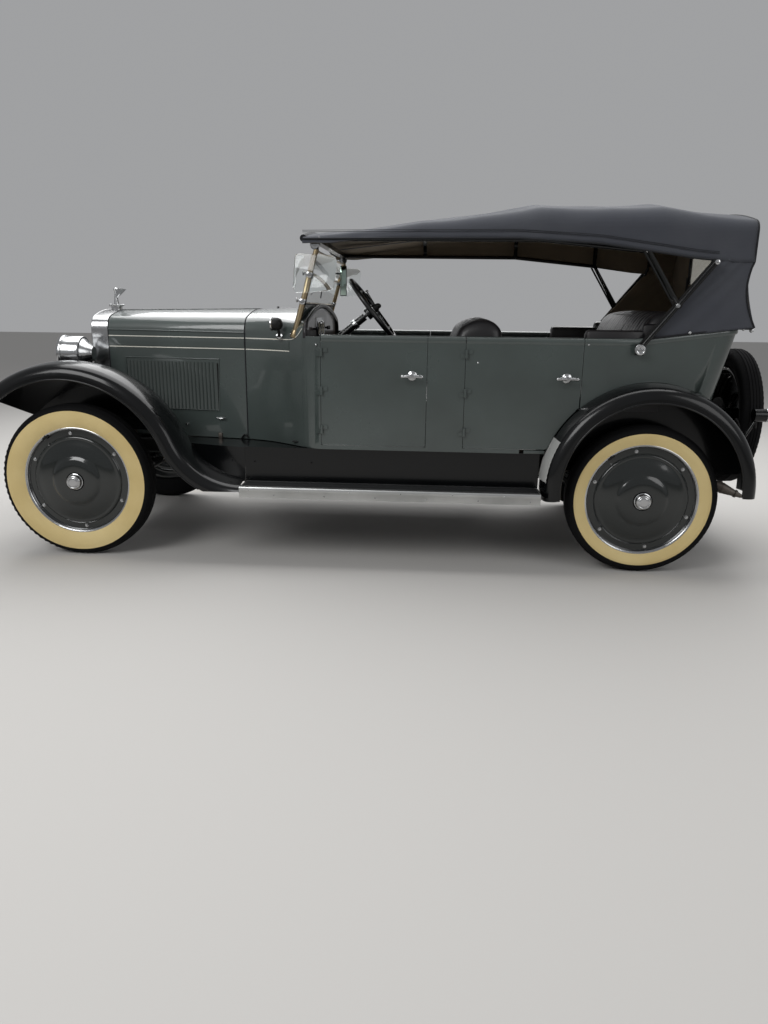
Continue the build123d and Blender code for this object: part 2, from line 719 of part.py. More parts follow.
def tub(inset, low, high, front):
    top_tail = BODY_TAIL_TOP
    base_tail = BODY_TAIL_TOP - BODY_TAIL_SLOPE * 1.8
    return loft([
        plan_outline(low, BODY_HALF - inset, base_tail - inset, 120 - inset, front),
        plan_outline(high, BODY_HALF - inset, top_tail - inset, 120 - inset, front),
    ], ruled=True)


def fender_cut(grow):
    """Cylinder that clears the rear fender."""
    return Pos(REAR_FENDER_X, 0, REAR_FENDER_Z) * Rot(90, 0, 0) * Cylinder(REAR_FENDER_R + grow, 2000)


def above_body_edge(gap):
    """Everything above the body's top edge, which is level past the doors and rises to the back."""
    end = BODY_TAIL_TOP + 30
    return slab([(1300, BELT_Z + gap), (RISE_X, BELT_Z + gap), (end, BELT_Z + TAIL_RISE + gap), (end, 2200),
                 (1300, 2200)], -900, 900)


def hinges(x, on_door):
    """Barrels of the left door hinges: lower halves on the body, upper halves and pins on the door."""
    y = -BODY_HALF - HINGE_OUT
    half = HINGE_HEIGHT / 2
    barrels = None
    for z in HINGE_LEVELS:
        if on_door:
            base = z + SEAT_PLAY
            barrel = Pos(x, y, base) * Cylinder(HINGE_R, half, align=UPWARD)
            barrel += Pos(x, y, z) * Cylinder(HINGE_PIN_R, HINGE_HEIGHT)
            barrel += block(x, x + HINGE_LEAF, y + 3, -BODY_HALF, base, base + half)
        else:
            barrel = Pos(x, y, z - half) * Cylinder(HINGE_R, half, align=UPWARD)
            barrel += block(x - HINGE_LEAF, x, y + 3, -BODY_HALF, z - half, z)
            barrel += block(x - HINGE_LEAF, x - MOVING_GAP, -BODY_HALF, -BODY_HALF + 15, z - half, z)
            barrel -= Pos(x, y, z) * Cylinder(HINGE_PIN_R + SHAFT_PLAY, HINGE_HEIGHT * 2)
        barrels = barrel if barrels is None else barrels + barrel
    return barrels


def body_shell():
    """Sills, centre pillars, quarters and back, one wall thick, open at the four doors."""
    low = SILL_Z
    high = BELT_Z + TAIL_RISE
    front = FRONT_DOOR_X - MOVING_GAP
    shell = tub(0, low, high, front) - cabin_inside()
    shell -= block(front - 2, front + 5, -800, 800, DOOR_SILL_Z - MOVING_GAP, high + 1)
    shell -= above_body_edge(0)
    for start, end in ((FRONT_DOOR_X - 20, FRONT_DOOR_END), (REAR_DOOR_X - MOVING_GAP, REAR_DOOR_END)):
        shell -= block(start, end + MOVING_GAP, -900, 900, DOOR_SILL_Z - MOVING_GAP, 1500)
    return shell - fender_cut(SEAT_PLAY)


def body_parts():
    """Left side, right side and the rear quarters with the back."""
    shell = body_shell()
    split = (REAR_DOOR_X + REAR_DOOR_END) / 2
    left = (shell & block(COWL_X, split, -900, 0, 500, 1500)) + hinges(REAR_DOOR_X, False)
    rear = shell & block(REAR_DOOR_END - 50, BODY_TAIL_TOP + 50, -900, 900, 500, 1500)
    return left, other_side(left), rear


def door(x0, x1, rear):
    """Left door: outer skin flush with the body, inner edge eased so that it swings clear."""
    inner = -BODY_HALF + WALL
    plan = make_face(Polyline(
        (x0, -BODY_HALF), (x1, -BODY_HALF), (x1 - 8, inner), (x0 + 2, inner), close=True,
    ))
    panel = Pos(0, 0, DOOR_SILL_Z) * extrude(plan, DOOR_TOP - DOOR_SILL_Z)
    if rear:
        panel -= fender_cut(1 + MOVING_GAP)
    panel += hinges(x0, True)
    knob_x = x1 - 74
    z = 1047
    panel += bar((knob_x, -BODY_HALF + 1, z), (knob_x, -BODY_HALF - 42, z), 6)
    panel += bar((knob_x - 45, -BODY_HALF - 42, z), (knob_x + 45, -BODY_HALF - 42, z), 8)
    return panel


def cabin_inside():
    """Space within the body's walls."""
    return tub(WALL, SILL_Z - 1, BELT_Z + TAIL_RISE + 1, FRONT_DOOR_X - MOVING_GAP - 1)


def floor_panel():
    """Boards on two long sills that rest on the rails, stepped up over the rear axle."""
    low = FLOOR_TOP - FLOOR_THICKNESS
    high = low + FLOOR_STEP
    half = BODY_HALF - WALL
    step = KICK_UP_X + 60
    cowl_end = FRONT_DOOR_X - MOVING_GAP
    panel = block(cowl_end, step, -half, half, low, FLOOR_TOP)
    panel += block(1200, cowl_end, -800, 800, low, FLOOR_TOP) & cowl_inside(SILL_Z + 1)
    between = FENDER_IN - FENDER_SHEET - 1
    panel += block(step - 20, step, -between, between, low, high + FLOOR_THICKNESS)
    panel += block(step - 20, BODY_TAIL_TOP, -between, between, high, high + FLOOR_THICKNESS) & cabin_inside()
    inner = -RAIL_Y + RAIL_WIDTH
    panel += both(block(1210, KICK_UP_X - 10, -RAIL_Y, inner, RAIL_TOP, low))
    return panel + both(block(KICK_UP_X + 140, WHEELBASE + 224, -RAIL_Y, inner, REAR_RAIL_TOP, high))


def seat(front, back, half, cushion_z, base_z, top_z, lean):
    """Bench seat: cushion and leaning back as one upholstered block with a rolled top."""
    nose, rim = front - 10, cushion_z - 40
    hip_z = cushion_z - SEAT_FALL
    rear = back + SEAT_THICKNESS
    foot = rear - SEAT_TUCK
    edges = [
        Line((front, base_z), (nose, rim)),
        ThreePointArc((nose, rim), (front + 14, cushion_z - 8), (front + SEAT_KNEE, cushion_z)),
        Line((front + SEAT_KNEE, cushion_z), (back - lean, hip_z)),
        Line((back - lean, hip_z), (back, SEAT_ROLL_Z)),
        ThreePointArc((back, SEAT_ROLL_Z), ((back + rear) / 2, top_z), (rear, SEAT_ROLL_Z)),
        Line((rear, SEAT_ROLL_Z), (foot, base_z)),
        Line((foot, base_z), (front, base_z)),
    ]
    return side_slab(edges, -half, half)


def front_seat():
    return seat(FRONT_SEAT_X, FRONT_SEAT_BACK, FRONT_SEAT_HALF, FRONT_CUSHION_Z, FLOOR_TOP,
                FRONT_BACK_TOP, FRONT_BACK_LEAN)


def rear_seat():
    """Bench between the wheel houses, with a back that widens above them."""
    bench = seat(REAR_SEAT_X, REAR_SEAT_BACK, REAR_BACK_HALF, REAR_CUSHION_Z, FLOOR_TOP + FLOOR_STEP,
                 REAR_BACK_TOP, REAR_BACK_LEAN)
    house_top = REAR_FENDER_Z + REAR_FENDER_R + 20
    beside = block(REAR_SEAT_X - 50, BODY_TAIL_TOP, -BODY_HALF, -REAR_SEAT_HALF, FLOOR_TOP, house_top)
    return bench - both(beside)


def fender_edges(base):
    """Left fender's section in (y, z): crown at z = base, rounded shoulder, upright lip."""
    edge = FENDER_OUT - FENDER_CROWN_Y
    height, middle, meet = shoulder(edge, base, FENDER_CROWN_R, FENDER_SHOULDER_R)
    thin_h, thin_mid, thin_meet = shoulder(edge - FENDER_SHEET, base - FENDER_SHEET,
                                           FENDER_CROWN_R - FENDER_SHEET, FENDER_SHOULDER_R - FENDER_SHEET)
    out = lambda point: (-FENDER_CROWN_Y - point[0], point[1])
    inner = FENDER_CROWN_Y - FENDER_IN
    high = lambda r: base - FENDER_CROWN_R + math.sqrt(r ** 2 - inner ** 2)
    outer_in = (-FENDER_IN, high(FENDER_CROWN_R))
    thin_in = (-FENDER_IN, high(FENDER_CROWN_R - FENDER_SHEET))
    lip = base - FENDER_LIP
    return [
        ThreePointArc(outer_in, (-FENDER_CROWN_Y, base), out(meet)),
        ThreePointArc(out(meet), out(middle), out((edge, height))),
        Line(out((edge, height)), out((edge, lip))),
        Line(out((edge, lip)), out((edge - FENDER_SHEET, lip))),
        Line(out((edge - FENDER_SHEET, lip)), out((edge - FENDER_SHEET, thin_h))),
        ThreePointArc(out((edge - FENDER_SHEET, thin_h)), out(thin_mid), out(thin_meet)),
        ThreePointArc(out(thin_meet), (-FENDER_CROWN_Y, base - FENDER_SHEET), thin_in),
    ], outer_in, thin_in


def fender_flare():
    """Angle and radius of the reverse curve from the front fender down to the running board."""
    s_angle = 0.386
    radius = (FRONT_FENDER_R * s_angle - (BOARD_TOP + 22 - FRONT_TYRE_R)) / (1 - s_angle)
    return math.asin(s_angle), radius


def front_fender():
    arc_angle, radius = fender_flare()
    sweep_back = 90 - math.degrees(arc_angle)
    edges, outer_in, thin_in = fender_edges(FRONT_FENDER_R)
    # Inner skirt: cone in to the hood ledge, then an upright shield
    shield_r = 250
    skirt = [
        Line(thin_in, (-SKIRT_Y, SKIRT_R)),
        Line((-SKIRT_Y, SKIRT_R), (-SKIRT_Y, shield_r)),
        Line((-SKIRT_Y, shield_r), (-SKIRT_Y + FENDER_SHEET, shield_r)),
        Line((-SKIRT_Y + FENDER_SHEET, shield_r), (-SKIRT_Y + FENDER_SHEET, SKIRT_R + 5)),
        Line((-SKIRT_Y + FENDER_SHEET, SKIRT_R + 5), outer_in),
    ]
    arc = turned(edges + skirt, FRONT_FENDER_TIP + sweep_back)
    main = Pos(0, 0, FRONT_TYRE_R) * Rot(0, -FRONT_FENDER_TIP, 0) * arc
    main -= block(-900, 900, -FENDER_IN + 0.5, 0, 0, 680)
    low_edges, low_in, low_thin = fender_edges(-radius)
    low_edges.append(Line(low_thin, low_in))
    centre_x = (FRONT_FENDER_R + radius) * math.cos(arc_angle)
    centre_z = FRONT_TYRE_R + (FRONT_FENDER_R + radius) * math.sin(arc_angle)
    flare = Pos(centre_x, 0, centre_z) * turned(low_edges, sweep_back)
    flare -= block(0, 2000, -1000, 0, 0, BOARD_TOP - BOARD_THICKNESS)
    return main + flare


def fender_core():
    """Everything inside the left front fender's skirt."""
    outer_in = fender_edges(FRONT_FENDER_R)[1]
    core = turned(closed(outer_in, (-SKIRT_Y + FENDER_SHEET, SKIRT_R + 5), (-SKIRT_Y + FENDER_SHEET, 0),
                         (-FENDER_IN, 0)))
    return Pos(0, 0, FRONT_TYRE_R) * core


def splash_apron():
    """Ledge beside the left rail under the hood and cowl, closed down to the fender and the board."""
    arc_angle, radius = fender_flare()
    end = (FRONT_FENDER_R + radius) * math.cos(arc_angle)
    start, nose, top = 606, 470, SILL_Z - 4
    back = FRONT_DOOR_X - MOVING_GAP
    ledge = make_face(Polyline(
        (nose, -RAIL_Y - 1), (back, -RAIL_Y - 1), (back, -BOARD_IN + 1), (end, -BOARD_IN + 1),
        (start, -FENDER_IN), (nose, -FENDER_IN), close=True,
    ))
    apron = Pos(0, 0, top - FENDER_SHEET) * extrude(ledge, FENDER_SHEET)
    side = make_face(Polyline(
        (start, -FENDER_IN), (end, -BOARD_IN),
        (end, -BOARD_IN - FENDER_SHEET), (start, -FENDER_IN - FENDER_SHEET), close=True,
    ))
    wall = Pos(0, 0, BOARD_TOP) * extrude(side, top - BOARD_TOP)
    return apron + (wall - Pos(0, 0, FRONT_TYRE_R) * Rot(90, 0, 0) * Cylinder(FRONT_FENDER_R - 3, 2000))


def front_fenders():
    return both(front_fender() + splash_apron())


def rear_fender():
    """Left rear fender with the wheel house that it closes against the body."""
    edges, outer_in, thin_in = fender_edges(REAR_FENDER_R)
    wall_y = FENDER_IN - 4
    house = [
        Line(thin_in, (-FENDER_IN, 0)),
        Line((-FENDER_IN, 0), (-wall_y, 0)),
        Line((-wall_y, 0), (-wall_y, outer_in[1])),
        Line((-wall_y, outer_in[1]), outer_in),
    ]
    arc = turned(edges + house, REAR_FENDER_FRONT + REAR_FENDER_BACK)
    shape = Pos(REAR_FENDER_X, 0, REAR_FENDER_Z) * Rot(0, -REAR_FENDER_FRONT, 0) * arc
    return shape - block(2000, 4000, -FENDER_IN - 0.5, 0, 0, REAR_FENDER_Z + 60)


def rear_fenders():
    return both(rear_fender())


def running_boards():
    """Boards with their splash aprons up to the body's sill."""
    arc_angle, radius = fender_flare()
    start = (FRONT_FENDER_R + radius) * math.cos(arc_angle)
    end = REAR_FENDER_X - REAR_FENDER_R - 4
    board = block(start, end, -868, -BOARD_IN, BOARD_TOP - BOARD_THICKNESS, BOARD_TOP)
    board += block(start + 1, end, -BOARD_IN - 6, -BOARD_IN, BOARD_TOP - 4, SILL_Z - 0.3)
    return both(board)


def headlamps():
    """Drum lamps on posts from a cross bar between the fenders."""
    x, y, z = HEADLAMP_X, HEADLAMP_Y, HEADLAMP_Z
    back, post_x, reach = x + HEADLAMP_LENGTH, x + 92, y + 100
    lamp = bar((x, -y, z), (back, -y, z), HEADLAMP_R)
    lamp += Pos(back, -y, z) * Rot(0, 90, 0) * Cone(HEADLAMP_R, 44, 58, align=UPWARD)
    lamp += bar((post_x, -y, z), (post_x, -y, LAMP_BAR_Z), 16)
    lamps = both(lamp)
    rod = bar((post_x, -reach, LAMP_BAR_Z), (post_x, reach, LAMP_BAR_Z), 15)
    return (lamps + rod) - both(fender_core())


def cowl_lamps():
    x, y, z = 1135, BODY_HALF - 134, 1304
    lamp = bar((x - 34, -y, z), (x + 26, -y, z), COWL_LAMP_R)
    lamp += bar((x, -y, z), (x, -y + 90, z - 20), 10)
    return both(lamp - cowl_solid())


def steering_axis():
    """Unit direction up the column, and the wheel's centre."""
    slope = math.radians(38.6)
    return Vector(math.cos(slope), 0, math.sin(slope)), Vector(1640, -350, 1387)


def column_tube(clearance=0):
    up, centre = steering_axis()
    return bar(tuple(centre - up * 1000), tuple(centre - up * 62), COLUMN_R + clearance)


def steering_column():
    up, centre = steering_axis()
    foot = centre - up * 1000
    gap = centre - up * 62
    column = column_tube()
    column += bar(tuple(gap), tuple(centre - up * 20), 9)
    column += block(foot.X - 80, foot.X + 40, -RAIL_Y + RAIL_WIDTH, -300, foot.Z - 120, foot.Z + 50)
    return column


def steering_wheel():
    """Rim, four spokes and hub, turning on the end of the column."""
    up, centre = steering_axis()
    plane = Plane(origin=tuple(centre), x_dir=(0, 1, 0), z_dir=tuple(up))
    wheel = Torus(200, 13)
    for index in range(4):
        wheel += Rot(0, 0, 45 + 90 * index) * Pos(100, 0, -8) * Box(200, 20, 8)
    wheel += Pos(0, 0, -22) * Cylinder(34, 50)
    wheel -= Pos(0, 0, -33) * Cylinder(9 + SHAFT_PLAY, 50)
    return plane * wheel


def windshield_plane():
    lean = Vector(POST_TOP_X - POST_FOOT_X, 0, POST_TOP_Z - POST_FOOT_Z)
    foot = (POST_FOOT_X, 0, POST_FOOT_Z)
    return Plane(origin=foot, x_dir=(0, 1, 0), z_dir=Vector(0, 1, 0).cross(lean)), lean.length


def windshield_frame():
    plane, height = windshield_plane()
    width = 2 * POST_Y
    frame = None
    # Rails across: height up the frame
    for level in (FRAME_LOW, FRAME_SPLIT, height - 12):
        rail = Pos(0, level, 0) * Box(width, FRAME_BAR, FRAME_BAR)
        frame = rail if frame is None else frame + rail
    for side in (-1, 1):
        frame += Pos(side * POST_Y, height / 2, 0) * Box(2 * POST_R, height, 2 * POST_R)
    skirt = Pos(0, FRAME_LOW / 2 + 5, 0) * Box(width - 20, FRAME_LOW, 12)
    return (plane * frame) + (plane * skirt) - cowl_solid()


def windshield_glass():
    plane, height = windshield_plane()
    half = POST_Y - POST_R
    edge = FRAME_BAR / 2
    panes = None
    for z0, z1 in ((FRAME_LOW + edge, FRAME_SPLIT - edge), (FRAME_SPLIT + edge, height - 12 - edge)):
        pane = Pos(0, (z0 + z1) / 2, 0) * Box(2 * half, z1 - z0, GLASS)
        panes = pane if panes is None else panes + pane
    return plane * panes


def top_solid(inset, drop):
    first, *middle, last = TOP_ROWS
    rows = [(first[0] - drop, *first[1:]), *middle, (last[0] - inset, *last[1:])]
    return arch_loft(rows, inset, drop)


def top_opening():
    """Side view of what is open below the top: from the header to the slanting main bow."""
    return slab([
        (TOP_FRONT_X - 20, 1738), (cabin(0.5775), 1748), (WHEELBASE - 316, 1724), (WHEELBASE + 194, 1650),
        (WHEELBASE + 282, 1648), (WHEELBASE - 51, 1240), (WHEELBASE - 51, 1200), (TOP_FRONT_X - 20, 1200),
    ], -900, 900)


def canopy():
    """Fabric top: roof over the bows, quarters and back curtain with its window."""
    shell = top_solid(0, 0) - top_solid(TOP_SHEET, 20) - top_opening()
    shell = shell & above_body_edge(SEAT_PLAY)
    window = Pos(TOP_REAR_X - 10, 0, BACK_WINDOW_Z) * Box(120, BACK_WINDOW_WIDTH, BACK_WINDOW_HEIGHT)
    return shell - window


def top_bows():
    """Side rails, hoops and slanting irons that hold the top up, hung on a knob at each body side."""
    rail_y, iron_y, header_y = -TOP_HALF + 22, -TOP_HALF - 28, -TOP_HALF + 50
    knob, joint, top_pin = (WHEELBASE - 78, 1200), (WHEELBASE + 95, 1421), (WHEELBASE + 264, 1636)
    bend, strut_head = (TOP_CREST_X + 10, rail_y, HEADER_Z), (WHEELBASE - 75, rail_y, BOW_END_Z)
    header_x = TOP_FRONT_X + 50
    side = bar((header_x + 30, header_y, HEADER_Z), bend, IRON_R) + bar(bend, strut_head, IRON_R)
    side += bar((knob[0], iron_y, knob[1]), (top_pin[0], iron_y + 10, top_pin[1]), IRON_R)
    side += bar((joint[0], iron_y + 5, joint[1]), strut_head, STRUT_R)
    side += bar((knob[0], iron_y - 16, knob[1]), (knob[0], -TOP_HALF, knob[1]), 17)
    side += bar((top_pin[0], iron_y - 8, top_pin[1]), (top_pin[0], header_y - 10, top_pin[1]), 6)
    side += bar((top_pin[0], header_y - 10, top_pin[1]), (top_pin[0] + 20, header_y, BOW_END_Z + 10), STRUT_R)
    side -= tub(0, SILL_Z, BELT_Z + TAIL_RISE, FRONT_DOOR_X)
    bows = both(side)
    hoops = top_solid(HOOP_DROP, 0) - top_solid(HOOP_DROP + HOOP_WIDTH, 20)
    # Hoops over the cabin: station, height of the ends
    for x, low in [
        (cabin(0.2905), HEADER_Z), (TOP_CREST_X, HEADER_Z),
        (WHEELBASE - 86, BOW_END_Z), (WHEELBASE + 274, BOW_END_Z),
    ]:
        bows += hoops & block(x, x + HOOP_WIDTH, -900, 900, low, 2100)
    bows += block(header_x, header_x + 40, header_y, -header_y, HEADER_Z - 17, HEADER_Z + 8)
    clamps = both(block(header_x + 8, header_x + 28, -POST_Y - 10, -POST_Y + 10, BOW_END_Z, HEADER_Z - 16))
    return bows + (clamps - windshield_frame())


def spare_carrier():
    face = SPARE_X - HUB_IN
    foot = FRAME_TAIL_X - 20
    arm = slab([(foot, 580), (foot, 640), (face - 8, SPARE_Z + 60), (face - 8, SPARE_Z - 60)], -60, 60)
    arm += bar((face - 18, 0, SPARE_Z), (face, 0, SPARE_Z), 110)
    arm += bar((face - 18, 0, SPARE_Z), (face + 40, 0, SPARE_Z), HUB_BORE_R - SHAFT_PLAY)
    return arm - block(FRAME_TAIL_X - 120, FRAME_TAIL_X - 4, -200, 200, 500, REAR_RAIL_TOP - 4)


def spare_place(shape):
    """Lay a wheel upright behind the body, outer face to the rear."""
    return Pos(SPARE_X, 0, SPARE_Z) * Rot(0, 0, 90) * shape


def tail_lamp():
    """Lamp on a bent stalk from the end of the left rail, outboard of the spare."""
    x, y, z = FRAME_TAIL_X - 30, TAIL_LAMP_Y, TAIL_LAMP_Z
    foot = (x, -RAIL_Y, STALK_Z)
    elbow = (x, y, STALK_Z)
    lamp = bar((x + 90, y, z), (x + 160, y, z), TAIL_LAMP_R)
    stalk = bar(foot, elbow, STALK_R) + Pos(*elbow) * Sphere(STALK_R)
    return lamp + stalk + bar(elbow, (x + 110, y, z - 20), STALK_R)


def at_wheel(shape, x, z, side):
    placed = Pos(x, -TRACK / 2, z) * shape
    return placed if side < 0 else other_side(placed)


def parts():
    """Node names and solids, in stations from the front axle."""
    left, right, back = body_parts()
    front_wheel = disc_wheel(drum=False)
    rear_wheel = disc_wheel(drum=True)
    front_tyre = tyre(FRONT_TYRE_R, FRONT_TYRE_WIDTH)
    rear_tyre = tyre(REAR_TYRE_R, REAR_TYRE_WIDTH)
    front_knuckle = knuckle()
    front_door = door(FRONT_DOOR_X, FRONT_DOOR_END, False)
    rear_door = door(REAR_DOOR_X, REAR_DOOR_END, True)
    return {
        "frame_rails": frame_rails(),
        "frame_members": frame_members(),
        "leaf_springs": leaf_springs(),
        "front_axle": front_axle(),
        "rear_axle": rear_axle(),
        "engine_block": engine_block(),
        "exhaust": exhaust(),
        "fuel_tank": fuel_tank(),
        "knuckle_left": front_knuckle,
        "knuckle_right": other_side(front_knuckle),
        "tie_rod": tie_rod(),
        "wheel_front_left": at_wheel(front_wheel, 0, FRONT_TYRE_R, -1),
        "wheel_front_right": at_wheel(front_wheel, 0, FRONT_TYRE_R, 1),
        "wheel_rear_left": at_wheel(rear_wheel, WHEELBASE, REAR_TYRE_R, -1),
        "wheel_rear_right": at_wheel(rear_wheel, WHEELBASE, REAR_TYRE_R, 1),
        "tyre_front_left": at_wheel(front_tyre, 0, FRONT_TYRE_R, -1),
        "tyre_front_right": at_wheel(front_tyre, 0, FRONT_TYRE_R, 1),
        "tyre_rear_left": at_wheel(rear_tyre, WHEELBASE, REAR_TYRE_R, -1),
        "tyre_rear_right": at_wheel(rear_tyre, WHEELBASE, REAR_TYRE_R, 1),
        "spare_wheel": spare_place(disc_wheel(drum=False, cap=False)),
        "spare_tyre": spare_place(rear_tyre),
        "spare_carrier": spare_carrier(),
        "radiator_shell": radiator_shell(),
        "radiator_core": radiator_core(),
        "radiator_cap": radiator_cap(),
        "hood_top": hood_top(),
        "hood_sides": hood_sides(),
        "cowl": cowl(),
        "firewall": firewall(),
        "instrument_panel": instrument_panel(),
        "floor_panel": floor_panel(),
        "body_side_left": left,
        "body_side_right": right,
        "body_rear": back,
        "door_front_left": front_door,
        "door_front_right": other_side(front_door),
        "door_rear_left": rear_door,
        "door_rear_right": other_side(rear_door),
        "front_seat": front_seat(),
        "rear_seat": rear_seat(),
        "steering_column": steering_column(),
        "steering_wheel": steering_wheel(),
        "windshield_frame": windshield_frame(),
        "windshield_glass": windshield_glass(),
        "front_fenders": front_fenders(),
        "rear_fenders": rear_fenders(),
        "running_boards": running_boards(),
        "headlamps": headlamps(),
        "cowl_lamps": cowl_lamps(),
        "tail_lamp": tail_lamp(),
        "canopy": canopy(),
        "top_bows": top_bows(),
    }


os.makedirs("parts", exist_ok=True)
for node, solid in parts().items():
    export_step(Pos(-MIDDLE_X, 0, 0) * solid, f"parts/{node}.step")
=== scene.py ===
"""Open touring car of the middle 1920s with its soft top raised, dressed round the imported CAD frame."""
import logging
import math
from dataclasses import dataclass
from enum import Enum
from functools import cache
from typing import Callable, Optional, Sequence

import bmesh
import bpy
from mathutils import Matrix, Vector


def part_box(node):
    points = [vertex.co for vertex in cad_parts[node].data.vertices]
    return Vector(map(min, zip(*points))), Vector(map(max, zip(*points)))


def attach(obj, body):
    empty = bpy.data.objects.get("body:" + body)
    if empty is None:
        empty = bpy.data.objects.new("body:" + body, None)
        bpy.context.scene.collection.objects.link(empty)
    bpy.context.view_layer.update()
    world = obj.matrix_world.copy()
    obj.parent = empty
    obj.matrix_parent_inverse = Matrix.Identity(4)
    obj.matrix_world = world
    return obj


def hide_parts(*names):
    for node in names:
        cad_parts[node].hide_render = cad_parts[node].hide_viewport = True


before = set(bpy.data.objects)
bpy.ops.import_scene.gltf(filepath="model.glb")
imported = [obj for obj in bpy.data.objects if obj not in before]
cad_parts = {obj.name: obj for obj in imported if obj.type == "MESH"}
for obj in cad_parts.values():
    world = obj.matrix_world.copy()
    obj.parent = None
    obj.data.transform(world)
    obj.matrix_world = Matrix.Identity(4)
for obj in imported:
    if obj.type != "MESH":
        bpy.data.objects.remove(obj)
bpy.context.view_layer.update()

log = logging.getLogger("touring_car")

Point = tuple[float, float, float]
Pair = tuple[float, float]
Profile = Sequence[Pair]

# Stations are millimetres: x rearwards from the front axle, y to the car's right, z up from the floor
AXLE = sum(corner.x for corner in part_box("wheel_front_left")) / 2
MM = 0.001
CAR = "car_body"
LEFT: Point = (0, -1, 0)
AHEAD: Point = (-1, 0, 0)
REARWARDS: Point = (1, 0, 0)
UP: Point = (0, 0, 1)

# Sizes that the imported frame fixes
WHEELBASE = 3136
TRACK_HALF = 715
BODY_HALF = 726
SILL_Z = 640
BELT_Z = 1245
HOOD_START, HOOD_END = 44, 911
FLOOR_Z = 660
FENDER_EDGE_Y = -869.5
FRONT_ARCH: Pair = (0, 432)
REAR_ARCH: Pair = (3150, 470)
FRONT_DOOR: Pair = (1394, 1956)
REAR_DOOR: Pair = (2168, 2771)
SPARE: Point = (3815, 0, 780)
# Radius and half width of a tyre, and the radius where its cream wall ends
FRONT_TYRE: Point = (432, 69, 397)
REAR_TYRE: Point = (406, 62, 364)

# Half width of the hood, cowl and body by station
SIDE = (
    (HOOD_START, 290), (HOOD_END, 433), (980, 454), (1050, 487), (1120, 533), (1190, 588), (1250, 641),
    (1310, 688), (1350, 712), (1388, BODY_HALF), (2900, BODY_HALF),
)
# Station, half width, height, crown's radius and shoulders' radius of the arched sections
HOOD = ((HOOD_START, 290, 1368, 800, 80), (HOOD_END, 433, 1384, 1500, 90))
COWL = (HOOD[1], (1050, 487, 1391, 1750, 90), (1190, 588, 1398, 2050, 90), (1310, 688, 1404, 2400, 90))
# Points in an arched section's upright side, up to its shoulder
SIDE_PARTS = 12

# The body's tail: where the sides draw in and by how much, its foot and lean, and the corner's round
TAPER_X, TAPER = 2900, 76
TAIL_X, TAIL_LEAN, TAIL_RISE = 3442, 162, 675
CORNER_X, CORNER_Y, CORNER_R = 114.5, 535.5, 114.7


def at(x: float, y: float, z: float) -> Vector:
    """A station point in the frame, in metres."""
    return Vector((AXLE + x * MM, y * MM, z * MM))


def station(point: Vector) -> Point:
    """A frame point's station, in millimetres."""
    return tuple((point - at(0, 0, 0)) / MM)


def spread(start: float, end: float, parts: int) -> list[float]:
    """Values from start to end in equal parts."""
    return [start + (end - start) * k / parts for k in range(parts + 1)]


def blend_rows(rows: Sequence[Sequence[float]], x: float) -> list[float]:
    """Straight-line value of each column of a table at x.

    Args:
        rows: Rows that start with x, in rising order.
        x: Where the values are wanted.

    Returns:
        The other columns at x.
    """
    low = rows[0]
    for high in rows[1:]:
        if x <= high[0]:
            part = min(1.0, max(0.0, (x - low[0]) / (high[0] - low[0])))
            return [a + (b - a) * part for a, b in zip(low[1:], high[1:])]
        low = high
    return list(low[1:])


def crown_z(top: float, crown: float, y: float) -> float:
    """Height of a crown of some radius at a distance from the middle."""
    return top - crown + math.sqrt(crown ** 2 - y ** 2)


def arch_line(half: float, low: float, top: float, crown: float, round_r: float) -> list[Pair]:
    """Outline of an arched section, over from the left side's foot to the right side's.

    Args:
        half: Half width.
        low: Height of the feet.
        top: Height of the crown.
        crown: Radius of the crown.
        round_r: Radius of the shoulders.

    Returns:
        Points of (y, z).
    """
    height = top - crown + math.sqrt((crown - round_r) ** 2 - (half - round_r) ** 2)
    turn = math.atan2(height - top + crown, half - round_r)
    outline = [(half, z) for z in spread(low, height, SIDE_PARTS)[:-1]]
    for bend in spread(0, turn, 8):
        outline.append((half - round_r + round_r * math.cos(bend), height + round_r * math.sin(bend)))
    for bend in spread(turn, math.pi / 2, 20)[1:]:
        outline.append((crown * math.cos(bend), top - crown + crown * math.sin(bend)))
    return [(-y, z) for y, z in outline] + list(reversed(outline[:-1]))


def spoke(centre: Pair, radius: float, degrees: float, y: float) -> Point:
    """A point round a centre, in a plane along the car.

    Args:
        centre: Station and height of the centre.
        radius: How far from it.
        degrees: Angle from straight up, rearwards positive.
        y: Where the plane is across the car.

    Returns:
        The point.
    """
    turn = math.radians(degrees)
    return (centre[0] + radius * math.sin(turn), y, centre[1] + radius * math.cos(turn))


def side_y(x: float) -> float:
    """Half width of the hood, cowl or body's side at a station."""
    return blend_rows(SIDE, x)[0]


def belt_z(x: float) -> float:
    """Height of the body's top edge at a station."""
    return blend_rows(((3060, BELT_Z), (3634, 1315)), x)[0]


